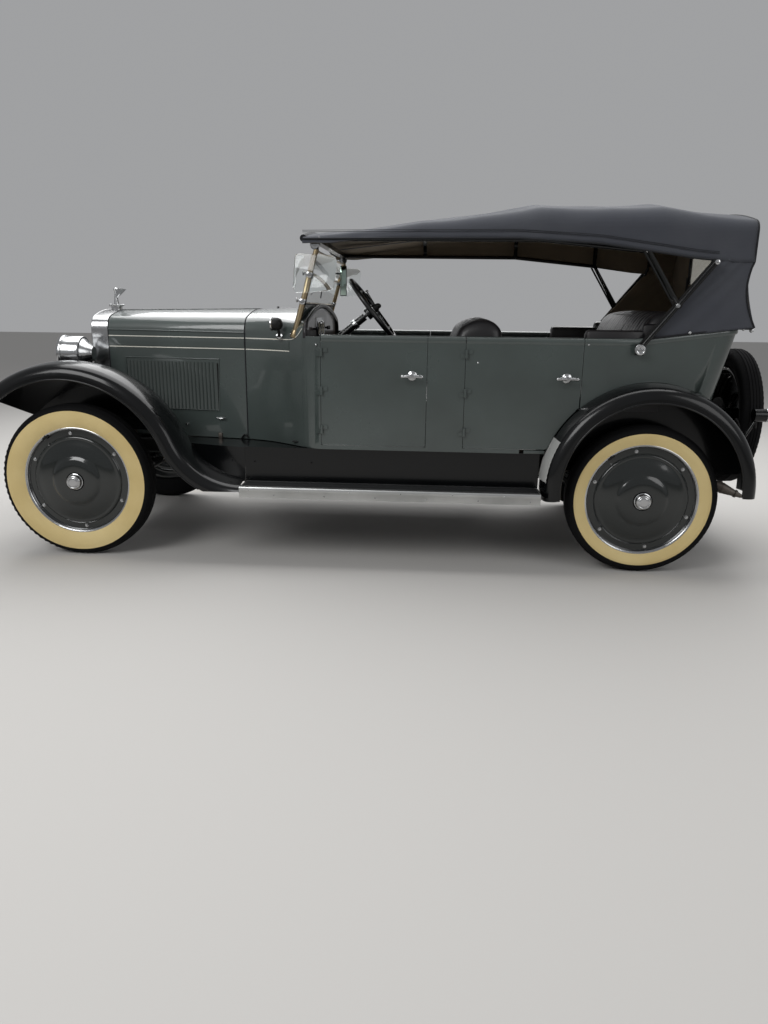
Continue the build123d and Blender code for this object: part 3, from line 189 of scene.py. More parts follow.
def body_line(start: float, high: Callable[[float], float], out: float = 0) -> list[Point]:
    """Points along the left quarter, round the rear corner and to the middle of the back.

    Args:
        start: First station.
        high: Height by station.
        out: How far outside the body's skin.

    Returns:
        The points.
    """
    tail = TAIL_X + TAIL_LEAN * (high(TAIL_X + TAIL_LEAN) - SILL_Z) / TAIL_RISE
    corner = tail - 120
    line = [(x, -BODY_HALF - out) for x in spread(start, TAPER_X, 6)[:-1] if start < TAPER_X]
    for x in spread(max(start, TAPER_X), corner, 8):
        line.append((x, -BODY_HALF + TAPER * (x - TAPER_X) / (corner - TAPER_X) - out))
    for turn in spread(-92.7, 2.7, 10)[1:]:
        bend = math.radians(turn)
        reach = CORNER_R + out
        line.append((tail - CORNER_X + reach * math.cos(bend), -CORNER_Y + reach * math.sin(bend)))
    line += [(tail + out, y) for y in spread(-530, 0, 6)[1:]]
    return [(x, y, high(x)) for x, y in line]


class Pattern(Enum):
    """What a finish shows up close."""

    ENAMEL = "enamel"
    METAL = "metal"
    WEAVE = "weave"
    HIDE = "hide"
    RUBBER = "rubber"
    TIMBER = "timber"
    CELLS = "cells"
    CLEAR = "clear"


@dataclass(frozen=True)
class Finish:
    """One real material and how it was made.

    Attributes:
        name: The material's common name.
        colour: Its sRGB hex colour.
        second: The colour it varies towards.
        rough: Roughness.
        pattern: Its pattern.
        size_mm: Real size of the pattern's repeat.
        depth_mm: Real height of its relief.
        metallic: 1 for bare metal.
        coat: Clear coat weight.
        sheen: Cloth sheen weight.
        gloss: Share of the dielectric reflection, half for clean smooth surfaces.
    """

    name: str
    colour: str
    second: str
    rough: float
    pattern: Pattern
    size_mm: float = 5.0
    depth_mm: float = 0.1
    metallic: float = 0.0
    coat: float = 0.0
    sheen: float = 0.0
    gloss: float = 0.5


# Nitrocellulose body lacquer, polished: soft depth and a slight orange peel
COACH = Finish("coach_lacquer", "#414947", "#3a413f", 0.3, Pattern.ENAMEL, 9, 0.02, coat=0.7, gloss=0.4)
# Stoved black enamel: deep gloss, faint ripple
ENAMEL = Finish("black_enamel", "#040506", "#070809", 0.2, Pattern.ENAMEL, 14, 0.03, coat=0.2, gloss=0.25)
# Green-black wheel enamel under varnish: crisp lamps mirrored in the disc's steps
WHEEL = Finish("wheel_enamel", "#0e1312", "#131817", 0.18, Pattern.ENAMEL, 12, 0.02, coat=0.7, gloss=0.35)
# Brushed chassis black: a flat, slightly dusty dark
CHASSIS = Finish("chassis_black", "#08090a", "#0d0c0b", 0.5, Pattern.ENAMEL, 20, 0.1, gloss=0.25)
# Nickel plate on brass, hand polished: cool and a little clouded
NICKEL = Finish("polished_nickel", "#bbbcbd", "#a8a9aa", 0.18, Pattern.METAL, 60, 0.01, metallic=1)
# Nickel worn through to the brass: a warm, dull gold
POST = Finish("aged_nickel", "#ad9d80", "#8a7a5e", 0.3, Pattern.METAL, 40, 0.02, metallic=1)
# Cast and filed aluminium: soft grey with blurred reflections
ALUMINIUM = Finish("cast_aluminium", "#c3c4c3", "#a6a7a6", 0.36, Pattern.METAL, 8, 0.04, metallic=1)
# Stone guard's aluminium made mostly diffuse: its light grey is a painted reflection, with little true mirror
ALUMINIUM_PAINTED_REFLECTION = Finish("aluminium_painted_reflection", "#bdbdba", "#9c9d9b", 0.55, Pattern.METAL, 8, 0.04, metallic=0.25)
# Bare steel dulled by heat and oil: brown-grey, no clear mirror
STEEL = Finish("dull_steel", "#6b6661", "#4d4641", 0.5, Pattern.METAL, 10, 0.05, metallic=1)
# Sand-cast iron under engine paint: grainy and matt
IRON = Finish("painted_cast_iron", "#4a4f4c", "#3b3e3c", 0.6, Pattern.ENAMEL, 6, 0.2)
# Carbon-black tread rubber: dry and light-eating
TREAD = Finish("tyre_rubber", "#0b0b0c", "#121213", 0.85, Pattern.RUBBER, 3, 0.15, gloss=0.12)
# Uncoloured wall rubber gone cream with age: smooth, waxy, a little mottled
WALL = Finish("cream_rubber", "#d0bd8a", "#c0ab77", 0.62, Pattern.RUBBER, 5, 0.06, gloss=0.25)
# Rubberised double-texture top cloth: fine twill with a soft sheen
TOP_CLOTH = Finish("top_cloth", "#43454a", "#3e4046", 0.9, Pattern.WEAVE, 3.2, 0.2, sheen=0.06, gloss=0.15)
# Tan drill inside the top: warm, matt and plain
LINING = Finish("drill_lining", "#867866", "#736757", 0.9, Pattern.WEAVE, 3.0, 0.2, sheen=0.1, gloss=0.2)
# Woven edge binding: a darker line where the cloth ends
BINDING = Finish("cloth_binding", "#17181b", "#1f2023", 0.8, Pattern.WEAVE, 2.4, 0.2, sheen=0.1, gloss=0.2)
# Vegetable-tanned upholstery hide: fine creases, satin from wear
HIDE = Finish("upholstery_hide", "#141315", "#1d1b1d", 0.42, Pattern.HIDE, 7, 0.25, coat=0.1, gloss=0.35)
# Cut pile: deep tufts that swallow the light
CARPET = Finish("cut_pile_carpet", "#38342f", "#2a2723", 0.95, Pattern.WEAVE, 6, 0.8, sheen=0.5)
# Moulded floor rubber: matt black with worn high spots
MAT = Finish("ribbed_rubber", "#111213", "#191a1b", 0.7, Pattern.RUBBER, 4, 0.1, gloss=0.3)
# Oiled ash floor boards: long brown grain
ASH = Finish("ash_boards", "#4a3a2a", "#36291d", 0.6, Pattern.TIMBER, 9, 0.1, gloss=0.3)
# Varnished walnut: dark figure under a clear coat
WALNUT = Finish("walnut_board", "#2a1b12", "#1a110b", 0.35, Pattern.TIMBER, 7, 0.05, coat=0.4)
# Hard rubber of the steering wheel: smooth black worn by hands
EBONITE = Finish("ebonite", "#0c0c0d", "#131314", 0.3, Pattern.RUBBER, 6, 0.02, coat=0.3, gloss=0.35)
# Radiator's soldered cells: a dark honeycomb with brassy edges
CORE = Finish("radiator_cells", "#23211e", "#3a352d", 0.5, Pattern.CELLS, 11, 2.0, metallic=0.6)
# Polished plate glass: clear, with a thin reflection
GLASS = Finish("plate_glass", "#fafdfc", "#fafdfc", 0.02, Pattern.CLEAR, 400, 0.0, gloss=0.3)
# Celluloid pane: clear but yellowed and slightly soft
CELLULOID = Finish("celluloid", "#f0ede2", "#ebe6d8", 0.08, Pattern.CLEAR, 200, 0.02)
# Ruby lens of the tail lamp: deep red, lit from outside
RED_GLASS = Finish("ruby_glass", "#a01818", "#8c1414", 0.1, Pattern.CLEAR)
# Silvered mirror glass: a cold, clean reflection
MIRROR = Finish("silvered_glass", "#9fb0a8", "#95a69e", 0.06, Pattern.METAL, 60, 0.002, metallic=1)
# Hand-drawn coach line: ivory, raised by the brush and varnished
STRIPE = Finish("ivory_stripe", "#d9d8cf", "#cfcdc2", 0.35, Pattern.ENAMEL, 10, 0.01, coat=0.5)
# Enamelled gauge face: warm white, no grain
DIAL = Finish("dial_enamel", "#ded9c6", "#d2ccb5", 0.4, Pattern.ENAMEL, 10, 0.01)

# What each CAD node wears, besides the wheels and tyres
WORN = {
    CHASSIS: ("frame_rails", "frame_members", "leaf_springs", "front_axle", "rear_axle", "fuel_tank",
              "knuckle_left", "knuckle_right", "tie_rod", "spare_carrier"),
    IRON: ("engine_block",), STEEL: ("exhaust",), CORE: ("radiator_core",), WALNUT: ("instrument_panel",),
    NICKEL: ("radiator_shell", "radiator_cap", "headlamps"),
    COACH: ("hood_top", "hood_sides", "cowl", "body_side_left", "body_side_right", "body_rear",
            "door_front_left", "door_front_right", "door_rear_left", "door_rear_right"),
    ASH: ("firewall", "floor_panel"), EBONITE: ("steering_column", "steering_wheel"),
    POST: ("windshield_frame",), GLASS: ("windshield_glass",),
    ENAMEL: ("front_fenders", "rear_fenders", "running_boards", "cowl_lamps", "tail_lamp", "top_bows"),
    HIDE: ("front_seat", "rear_seat"), TOP_CLOTH: ("canopy",), WHEEL: ("spare_wheel",),
}


def linear(colour: str) -> tuple[float, float, float, float]:
    """Linear values of an sRGB hex colour."""
    parts = [int(colour[i:i + 2], 16) / 255 for i in (1, 3, 5)]
    return (*[p / 12.92 if p <= 0.04045 else ((p + 0.055) / 1.055) ** 2.4 for p in parts], 1.0)


def add(tree: bpy.types.NodeTree, kind: str, inputs: Optional[dict] = None, **settings) -> bpy.types.Node:
    """Adds one shader node.

    Args:
        tree: Where it goes.
        kind: The node's type name, after "ShaderNode".
        inputs: Values for its inputs, or sockets to link to them.
        settings: The node's own settings.

    Returns:
        The node.
    """
    node = tree.nodes.new(f"ShaderNode{kind}")
    for key, value in settings.items():
        setattr(node, key, value)
    for key, value in (inputs or {}).items():
        if isinstance(value, bpy.types.NodeSocket):
            tree.links.new(value, node.inputs[key])
        else:
            node.inputs[key].default_value = value
    return node


def relief_of(tree: bpy.types.NodeTree, finish: Finish, place: bpy.types.NodeSocket) -> bpy.types.NodeSocket:
    """The height of a finish's pattern.

    Args:
        tree: Where its nodes go.
        finish: The finish.
        place: The coordinates.

    Returns:
        The socket that gives the height.
    """
    scale = 1 / (finish.size_mm * MM)
    wave = scale / 6.3
    grid = {"Vector": place, "Scale": scale}
    if finish.pattern is Pattern.WEAVE:
        threads = {"Vector": place, "Scale": wave, "Distortion": 0.4}
        warp, weft, nap = (add(tree, "TexWave", threads, bands_direction=way).outputs["Fac"] for way in "XYZ")
        crossed = add(tree, "Math", {0: warp, 1: weft}, operation="MULTIPLY").outputs[0]
        return add(tree, "Math", {0: crossed, 1: nap}, operation="ADD").outputs[0]
    if finish.pattern is Pattern.HIDE:
        cells = add(tree, "TexVoronoi", grid, feature="DISTANCE_TO_EDGE").outputs["Distance"]
        return add(tree, "Math", {0: cells, 1: 0.12}, operation="MINIMUM").outputs[0]
    if finish.pattern is Pattern.TIMBER:
        grain = {"Vector": place, "Scale": wave, "Distortion": 5.0, "Detail": 3.0, "Detail Scale": 0.6}
        return add(tree, "TexWave", grain, bands_direction="Z").outputs["Fac"]
    if finish.pattern is Pattern.CELLS:
        return add(tree, "TexVoronoi", grid | {"Randomness": 0.0}).outputs["Distance"]
    return add(tree, "TexNoise", grid | {"Detail": 3.0}).outputs["Fac"]


@cache
def material(finish: Finish) -> bpy.types.Material:
    """The procedural material of a finish, made once.

    Args:
        finish: The finish.

    Returns:
        Its material.
    """
    made = bpy.data.materials.new(finish.name)
    made.use_nodes = True
    tree = made.node_tree
    tree.nodes.clear()
    place = add(tree, "TexCoord").outputs["Object"]
    broad = add(tree, "TexNoise", {"Vector": place, "Scale": 3.1, "Detail": 4.0}).outputs["Fac"]
    relief = relief_of(tree, finish, place)
    first, second = linear(finish.colour), linear(finish.second)
    shade = add(tree, "MapRange", {"Value": broad, "From Min": 0.35, "From Max": 0.65}).outputs[0]
    colour = add(tree, "Mix", {"Factor": shade, "A": first, "B": second}, data_type="RGBA").outputs["Result"]
    if finish.pattern in (Pattern.WEAVE, Pattern.TIMBER, Pattern.CELLS, Pattern.RUBBER):
        share = add(tree, "MapRange", {"Value": relief, "To Max": 0.45}).outputs[0]
        worn = add(tree, "Mix", {"Factor": share, "A": colour, "B": second}, data_type="RGBA")
        colour = worn.outputs["Result"]
    rough = add(tree, "MapRange", {
        "Value": broad, "From Min": 0.3, "From Max": 0.7,
        "To Min": finish.rough * 0.85, "To Max": min(1.0, finish.rough * 1.2),
    }).outputs[0]
    bump = add(tree, "Bump", {"Height": relief, "Strength": 1.0, "Distance": finish.depth_mm * MM})
    shader = add(tree, "BsdfPrincipled", {
        "Base Color": colour, "Roughness": rough, "Normal": bump.outputs[0], "Metallic": finish.metallic,
        "Coat Weight": finish.coat, "Coat Roughness": 0.06, "Sheen Weight": finish.sheen,
        "Specular IOR Level": finish.gloss,
    })
    if finish.pattern is Pattern.CLEAR:
        shader.inputs["Transmission Weight"].default_value = 1.0
        shader.inputs["IOR"].default_value = 1.5
    add(tree, "OutputMaterial", {"Surface": shader.outputs[0]})
    return made


class Shape:
    """A piece being modelled: one bmesh, and the finish that each face wears."""

    def __init__(self, finish: Finish) -> None:
        """Starts an empty piece.

        Args:
            finish: What it wears first.
        """
        self.mesh = bmesh.new()
        self.worn = self.mesh.faces.layers.int.new("worn")
        self.finishes: list[Finish] = []
        self.finish = finish

    def wear(self, finish: Finish) -> None:
        """What is added from here on wears this finish."""
        self.stamp()
        self.finish = finish

    def stamp(self) -> None:
        """Gives the faces added since the last stamp the present finish."""
        if self.finish not in self.finishes:
            self.finishes.append(self.finish)
        index = self.finishes.index(self.finish)
        for face in self.mesh.faces:
            if not face[self.worn]:
                face[self.worn] = 1
                face.material_index = index

    def bevel(self, edges: set[bmesh.types.BMEdge], width: float) -> None:
        """Rounds edges, width in millimetres."""
        bmesh.ops.bevel(self.mesh, geom=list(edges), offset=width * MM, offset_type="OFFSET", segments=2,
                        profile=0.5, affect="EDGES", material=-1, clamp_overlap=True)

    def box(self, low: Point, high: Point, bevel: float = 0, tilt: float = 0) -> None:
        """A box between two corners.

        Args:
            low: Its first corner.
            high: Its last corner.
            bevel: How wide its edges are eased.
            tilt: Radians it is turned about its middle, across the car.
        """
        a, b = at(*low), at(*high)
        matrix = Matrix.Translation((a + b) / 2)
        if tilt:
            matrix = matrix @ Matrix.Rotation(tilt, 4, "Y")
        matrix = matrix @ Matrix.Diagonal((*(b - a), 1.0))
        verts = bmesh.ops.create_cube(self.mesh, size=1, matrix=matrix)["verts"]
        if bevel:
            self.bevel({edge for vert in verts for edge in vert.link_edges}, bevel)

    def rod(self, start: Point, end: Point, radius: float, tip: Optional[float] = None, sides: int = 16,
            bevel: float = 0) -> None:
        """A round rod, or a cone where the tip's radius is given.

        Args:
            start: Middle of its first end.
            end: Middle of its last end.
            radius: Its radius at the start.
            tip: Its radius at the end.
            sides: How many facets it has.
            bevel: How wide its ends are eased.
        """
        a, b = at(*start), at(*end)
        run = b - a
        matrix = Matrix.Translation((a + b) / 2) @ run.to_track_quat("Z", "Y").to_matrix().to_4x4()
        verts = bmesh.ops.create_cone(
            self.mesh, cap_ends=True, segments=sides, radius1=radius * MM,
            radius2=(radius if tip is None else tip) * MM, depth=run.length, matrix=matrix,
        )["verts"]
        if bevel:
            caps = [f for f in {f for v in verts for f in v.link_faces} if len(f.verts) == sides]
            self.bevel({e for f in caps for e in f.edges}, bevel)

    def ball(self, centre: Point, radius: float, stretch: Point = (1, 1, 1), sides: int = 16) -> None:
        """A ball, or an egg where it is stretched.

        Args:
            centre: Its middle.
            radius: Its radius.
            stretch: Factors along the three axes.
            sides: How many facets go round it.
        """
        matrix = Matrix.Translation(at(*centre)) @ Matrix.Diagonal((*stretch, 1.0))
        bmesh.ops.create_uvsphere(self.mesh, u_segments=sides, v_segments=max(6, sides // 2),
                                  radius=radius * MM, matrix=matrix)

    def rods(self, *rows: tuple) -> None:
        """Several rods, each row with one rod's arguments."""
        for row in rows:
            self.rod(*row)

    def boxes(self, *rows: tuple) -> None:
        """Several boxes, each row with one box's arguments."""
        for row in rows:
            self.box(*row)

    def turned(self, profile: Profile, centre: Point, axis: Point, steps: int) -> list[bmesh.types.BMVert]:
        """Turns a profile of (distance along the axis, radius) about an axis.

        Args:
            profile: The profile, in millimetres.
            centre: Where the axis' zero is.
            axis: The axis' direction.
            steps: How many facets a turn has.

        Returns:
            The new vertices.
        """
        along = Vector(axis).normalized()
        out = Vector((0, 0, 1)) if abs(along.z) < 0.9 else Vector((1, 0, 0))
        out = (out - along * out.dot(along)).normalized()
        origin = at(*centre)
        row = [self.mesh.verts.new(origin + along * (a * MM) + out * (r * MM)) for a, r in profile]
        edges = [self.mesh.edges.new(pair) for pair in zip(row, row[1:])]
        before = set(self.mesh.verts) - set(row)
        bmesh.ops.spin(self.mesh, geom=row + edges, cent=origin, axis=along, angle=math.tau, steps=steps,
                       use_merge=True, use_normal_flip=False, use_duplicate=False)
        new = [v for v in self.mesh.verts if v not in before]
        bmesh.ops.remove_doubles(self.mesh, verts=new, dist=1e-6)
        return [v for v in self.mesh.verts if v not in before]

    def skin(self, across: int, along: int, place: Callable[[float, float], Vector],
             keep: Optional[Callable[[float, float], bool]] = None) -> list[bmesh.types.BMVert]:
        """A sheet of quads laid by a function of two shares from 0 to 1.

        Args:
            across: Quads in the first direction.
            along: Quads in the second.
            place: Gives each corner's point in the frame.
            keep: Says which quads stay, by their middle.

        Returns:
            The sheet's vertices.
        """
        verts = bmesh.ops.create_grid(self.mesh, x_segments=across, y_segments=along, size=1)["verts"]
        if keep is not None:
            middles = {f: f.calc_center_median() for v in verts for f in v.link_faces}
            gone = [f for f, middle in middles.items() if not keep((middle.x + 1) / 2, (middle.y + 1) / 2)]
            bmesh.ops.delete(self.mesh, geom=gone, context="FACES")
            verts = [v for v in verts if v.is_valid]
        for vert in verts:
            vert.co = place((vert.co.x + 1) / 2, (vert.co.y + 1) / 2)
        return verts

    def close(self, verts: Sequence[bmesh.types.BMVert]) -> None:
        """Joins a skin's touching edges and fills its open ends.

        Args:
            verts: The skin's vertices.
        """
        bmesh.ops.remove_doubles(self.mesh, verts=verts, dist=1e-6)
        ends = {e for v in verts if v.is_valid for e in v.link_edges if e.is_boundary}
        bmesh.ops.holes_fill(self.mesh, edges=list(ends), sides=0)

    def pipe(self, points: Sequence[Point], radius: float, sides: int = 3) -> None:
        """A round bar along a smooth run of points.

        Args:
            points: The run, in stations.
            radius: The bar's radius.
            sides: How finely it is rounded.
        """
        curve = bpy.data.curves.new("run", "CURVE")
        curve.dimensions = "3D"
        curve.bevel_depth = radius * MM
        curve.bevel_resolution = sides
        curve.use_fill_caps = True
        spline = curve.splines.new("NURBS")
        spline.points.add(len(points) - 1)
        for target, point in zip(spline.points, points):
            target.co = (*at(*point), 1)
        spline.order_u = 3
        spline.use_endpoint_u = True
        spline.resolution_u = 6
        holder = bpy.data.objects.new("run", curve)
        mesh = bpy.data.meshes.new_from_object(holder)
        self.mesh.from_mesh(mesh)
        bpy.data.objects.remove(holder)
        bpy.data.curves.remove(curve)
        bpy.data.meshes.remove(mesh)

    def moulding(self, path: Sequence[Point], section: Profile) -> None:
        """Sweeps a closed section along a path, its first column pointing to the right of the path's way.

        Args:
            path: Points in stations.
            section: Points of (outwards, upwards) in millimetres.
        """
        points = [Vector(point) for point in path]
        last, count = len(points) - 1, len(section)
        outs = [(points[min(k + 1, last)] - points[max(k - 1, 0)]).cross(Vector(UP)).normalized()
                for k in range(last + 1)]

        def place(u: float, v: float) -> Vector:
            """A corner of the sweep.

            Args:
                u: Share of the path.
                v: Share of the section.

            Returns:
                The point in the frame.
            """
            index = round(u * last)
            out, up = section[round(v * count) % count]
            return at(*(points[index] + outs[index] * out + Vector((0, 0, up))))

        self.close(self.skin(last, count, place))

    def stud(self, centre: Point, out: Point, radius: float = 5) -> None:
        """A domed screw or snap head.

        Args:
            centre: Where it stands on the surface.
            out: The surface's outward direction.
            radius: Its radius.
        """
        base, away = Vector(centre), Vector(out)
        tip = base + away * radius * 0.55
        self.rod(tuple(base - away), tuple(tip), radius, radius * 0.55, 12, radius * 0.25)

    def slab(self, outline: Sequence[Point], push: Point, bevel: float = 0) -> None:
        """A flat outline thickened by a push.

        Args:
            outline: The outline's points.
            push: How far and where it is thickened, in millimetres.
            bevel: How wide its edges are eased.
        """
        verts = [self.mesh.verts.new(at(*point)) for point in outline]
        face = self.mesh.faces.new(verts)
        geometry = bmesh.ops.extrude_face_region(self.mesh, geom=[face])["geom"]
        moved = [g for g in geometry if isinstance(g, bmesh.types.BMVert)]
        bmesh.ops.translate(self.mesh, verts=moved, vec=Vector(push) * MM)
        if bevel:
            self.bevel({edge for vert in verts + moved for edge in vert.link_edges}, bevel)

    def mirror(self, geometry: list) -> None:
        """Adds a mirror image on the car's other side.

        Args:
            geometry: What is mirrored.
        """
        made = bmesh.ops.duplicate(self.mesh, geom=geometry)["geom"]
        verts = [g for g in made if isinstance(g, bmesh.types.BMVert)]
        bmesh.ops.scale(self.mesh, vec=(1, -1, 1), verts=verts)
        bmesh.ops.reverse_faces(self.mesh, faces=[g for g in made if isinstance(g, bmesh.types.BMFace)])

    def both(self) -> None:
        """Adds the mirror image of all so far."""
        self.stamp()
        self.mirror(self.mesh.verts[:] + self.mesh.edges[:] + self.mesh.faces[:])

    def done(self, name: str, body: str, slot: str, *nodes: str, angle: float = 38, outwards: bool = True,
             merge: float = 0) -> bpy.types.Object:
        """Makes the object, dresses it and sets it on its body.

        Args:
            name: The piece's name.
            body: The CAD body it rides on; on the car's right, a left piece is turned over to it.
            slot: The record's material slot; not used.
            nodes: CAD nodes that it stands for.
            angle: Edges sharper than this stay sharp, in degrees.
            outwards: Whether to turn its faces outwards.
            merge: Joins vertices nearer than this, in millimetres.

        Returns:
            The object.
        """
        self.stamp()
        if body.endswith("right_door"):
            bmesh.ops.scale(self.mesh, vec=(1, -1, 1), verts=self.mesh.verts)
        if merge:
            bmesh.ops.remove_doubles(self.mesh, verts=self.mesh.verts, dist=merge * MM)
        if outwards:
            bmesh.ops.recalc_face_normals(self.mesh, faces=self.mesh.faces)
        self.mesh.faces.layers.int.remove(self.worn)
        mesh = bpy.data.meshes.new(name)
        self.mesh.to_mesh(mesh)
        self.mesh.free()
        for finish in self.finishes:
            mesh.materials.append(material(finish))
        mesh.polygons.foreach_set("use_smooth", [True] * len(mesh.polygons))
        mesh.set_sharp_from_angle(angle=math.radians(angle))
        made = bpy.data.objects.new(name, mesh)
        bpy.context.scene.collection.objects.link(made)
        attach(made, body)
        if nodes:
            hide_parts(*nodes)
        log.info("%s: %d faces on %s", name, len(mesh.polygons), body)
        return made


@dataclass
class RoadWheel:
    """A disc wheel with its tyre, outer face to one side.

    Attributes:
        name: Its place on the car.
        body: The CAD body it rides on.
        centre: Its middle.
        out: Its outward direction.
        tyre_r: The tyre's radius.
        half: Half of the tyre's width.
        wall_r: Where the cream wall ends.
        drum: Whether a brake drum is behind the disc.
        cap: Whether it has a hub cap.
        turn: Degrees by which its bolts are turned.
        rim_r: The rim's radius.
        bolts: How many bolts hold the rim.
        bolt_r: How far out they are.
        facets: How many facets the tyre has.
        groove: How deep the tread is cut.
    """

    name: str
    body: str
    centre: Point
    out: Point
    tyre_r: float
    half: float
    wall_r: float
    drum: bool = False
    cap: bool = True
    turn: float = 0.0
    rim_r: float = 302
    bolts: int = 6
    bolt_r: float = 268
    facets: int = 150
    groove: float = 5

    def spot(self, out: float, radius: float, angle: float) -> Point:
        """A point on the wheel.

        Args:
            out: How far outboard of its middle.
            radius: How far from its axis.
            angle: Degrees from straight up.

        Returns:
            The point.
        """
        axis, up = Vector(self.out), Vector(UP)
        turn = math.radians(angle + self.turn)
        away = up * math.cos(turn) + axis.cross(up) * math.sin(turn)
        return tuple(Vector(self.centre) + axis * out + away * radius)

    def tyre(self) -> None:
        """Tread with ribbed shoulders, cream outer wall and black inner wall."""
        shape = Shape(TREAD)
        lip, top, half = self.rim_r, self.tyre_r, self.half
        side = [(-half * 0.97, top - 30), (-half * 0.9, top - 17), (-half * 0.76, top - 8),
                (-half * 0.52, top - 3)]
        tread = list(side)
        floor = top - self.groove
        for share in (-0.42, -0.14, 0.14, 0.42):
            a, b = (share - 0.035) * half, (share + 0.035) * half
            tread += [(a, top - 1), (a + 0.5, floor), (b - 0.5, floor), (b, top - 1)]
            if share == -0.14:
                tread.append((0, top))
        tread += [(-a, r) for a, r in reversed(side)]
        self.cut_blocks(shape.turned(tread, self.centre, self.out, self.facets))
        middle = (lip + top) / 2
        wall = [(46, lip - 1), (50, lip + 5), (half * 0.86, lip + 22), (half * 0.97, middle - 16),
                (half, middle + 4), (half * 0.995, self.wall_r - 12), (half * 0.985, self.wall_r)]
        shape.wear(WALL)
        shape.turned(wall, self.centre, self.out, self.facets)
        shape.wear(TREAD)
        edge = [(half * 0.985, self.wall_r), (half * 0.985, self.wall_r + 2.5), (half * 0.97, top - 30)]
        inner = [side[0], *[(-a, r) for a, r in reversed(wall)], (-46, lip - 8), (46, lip - 8), (46, lip - 1)]
        for profile in (edge, inner):
            shape.turned(profile, self.centre, self.out, self.facets)
        node = f"tyre_{self.name}" if self.cap else "spare_tyre"
        shape.done(f"{self.name}_tyre", self.body, "tyre_rubber", node, merge=0.2, angle=50)

    def cut_blocks(self, verts: Sequence[bmesh.types.BMVert]) -> None:
        """Sinks every other row of the tread's shoulders, so that they read as blocks.

        Args:
            verts: The tread's vertices.
        """
        axis, origin = Vector(self.out), at(*self.centre)
        across = axis.cross(Vector(UP))
        for vert in verts:
            reach = (vert.co - origin).dot(axis) / MM
            if self.half * 0.5 < abs(reach) < self.half * 0.95:
                radial = (vert.co - origin) - axis * (reach * MM)
                if round(math.atan2(radial.dot(across), radial.z) / math.tau * self.facets) % 2:
                    vert.co -= radial.normalized() * (self.groove * MM)

    def disc(self) -> None:
        """Bright clincher rim, stepped disc, bolts, hub cap and valve."""
        shape = Shape(WHEEL)
        face = [(24, 286), (24.5, 254), (27, 251), (32, 248), (35, 243), (35.5, 238), (34, 232), (35, 226),
                (41, 208), (46, 188), (50, 168), (52, 154), (53, 146), (54, 140), (57, 134), (62, 127),
                (65, 117), (67.5, 102), (69, 88), (69.5, 76), (70, 52), (66, 49), (-10, 47)]
        back = [(a - 7, r) for a, r in reversed(face[1:18])]
        hub = [(-54, 42), (-54, 21), (-9, 21), (56, 44)]
        well = [(24, 285), (24, 279), (-40, 279), (-40, 289), (-46, 296), (-46, 303)]
        drum = [(-11, 60), (-11, 158), (-14, 164), (-52, 166), (-52, 160), (-20, 156), (-20, 60)]
        rim = [(24, 285.5), (27, 287), (36, 288), (43, 291), (46.5, 296), (48, 301), (46.5, 304.5), (43, 304)]
        cap = [(66, 47), (73, 46), (75, 42), (90, 41), (95, 39), (98.5, 34), (99, 31), (97.8, 29),
               (97.8, 27), (99.5, 25), (100, 18), (100, 0)]
        plug = [(62, 44), (66, 40), (66, 0)]
        for finish, profile, steps in (
            (WHEEL, face + hub + back + [(17, 284)], 96), (WHEEL, well, 96),
            (CHASSIS, drum if self.drum else [], 72), (NICKEL, rim, 96),
            (NICKEL, cap if self.cap else plug, 48),
        ):
            if profile:
                shape.wear(finish)
                shape.turned(profile, self.centre, self.out, steps)
        for angle in spread(0, 360, self.bolts)[:-1]:
            low, seat, foot, tip = (self.spot(out, self.bolt_r, angle) for out in (22, 28, 27, 34))
            shape.rods((low, seat, 10.5, 9.5, 12), (foot, tip, 7.5, 6.5, 6, 1))
        # The valve's stem, its cap and the lug beside it
        shape.rod(self.spot(20, 262, 32), self.spot(38, 247, 32), 4, 3.5, 10)
        shape.wear(CHASSIS)
        shape.rod(self.spot(40, 288, 28), self.spot(49, 300, 28), 5, 5, 8)
        shape.rod(self.spot(44, 292, 24), self.spot(44, 292, 32), 7, 7, 8)
        node = f"wheel_{self.name}" if self.cap else "spare_wheel"
        shape.done(f"{self.name}_disc_wheel", self.body, "wheel_paint", node, merge=0.05)

    def build(self) -> None:
        """Both pieces."""
        self.tyre()
        self.disc()


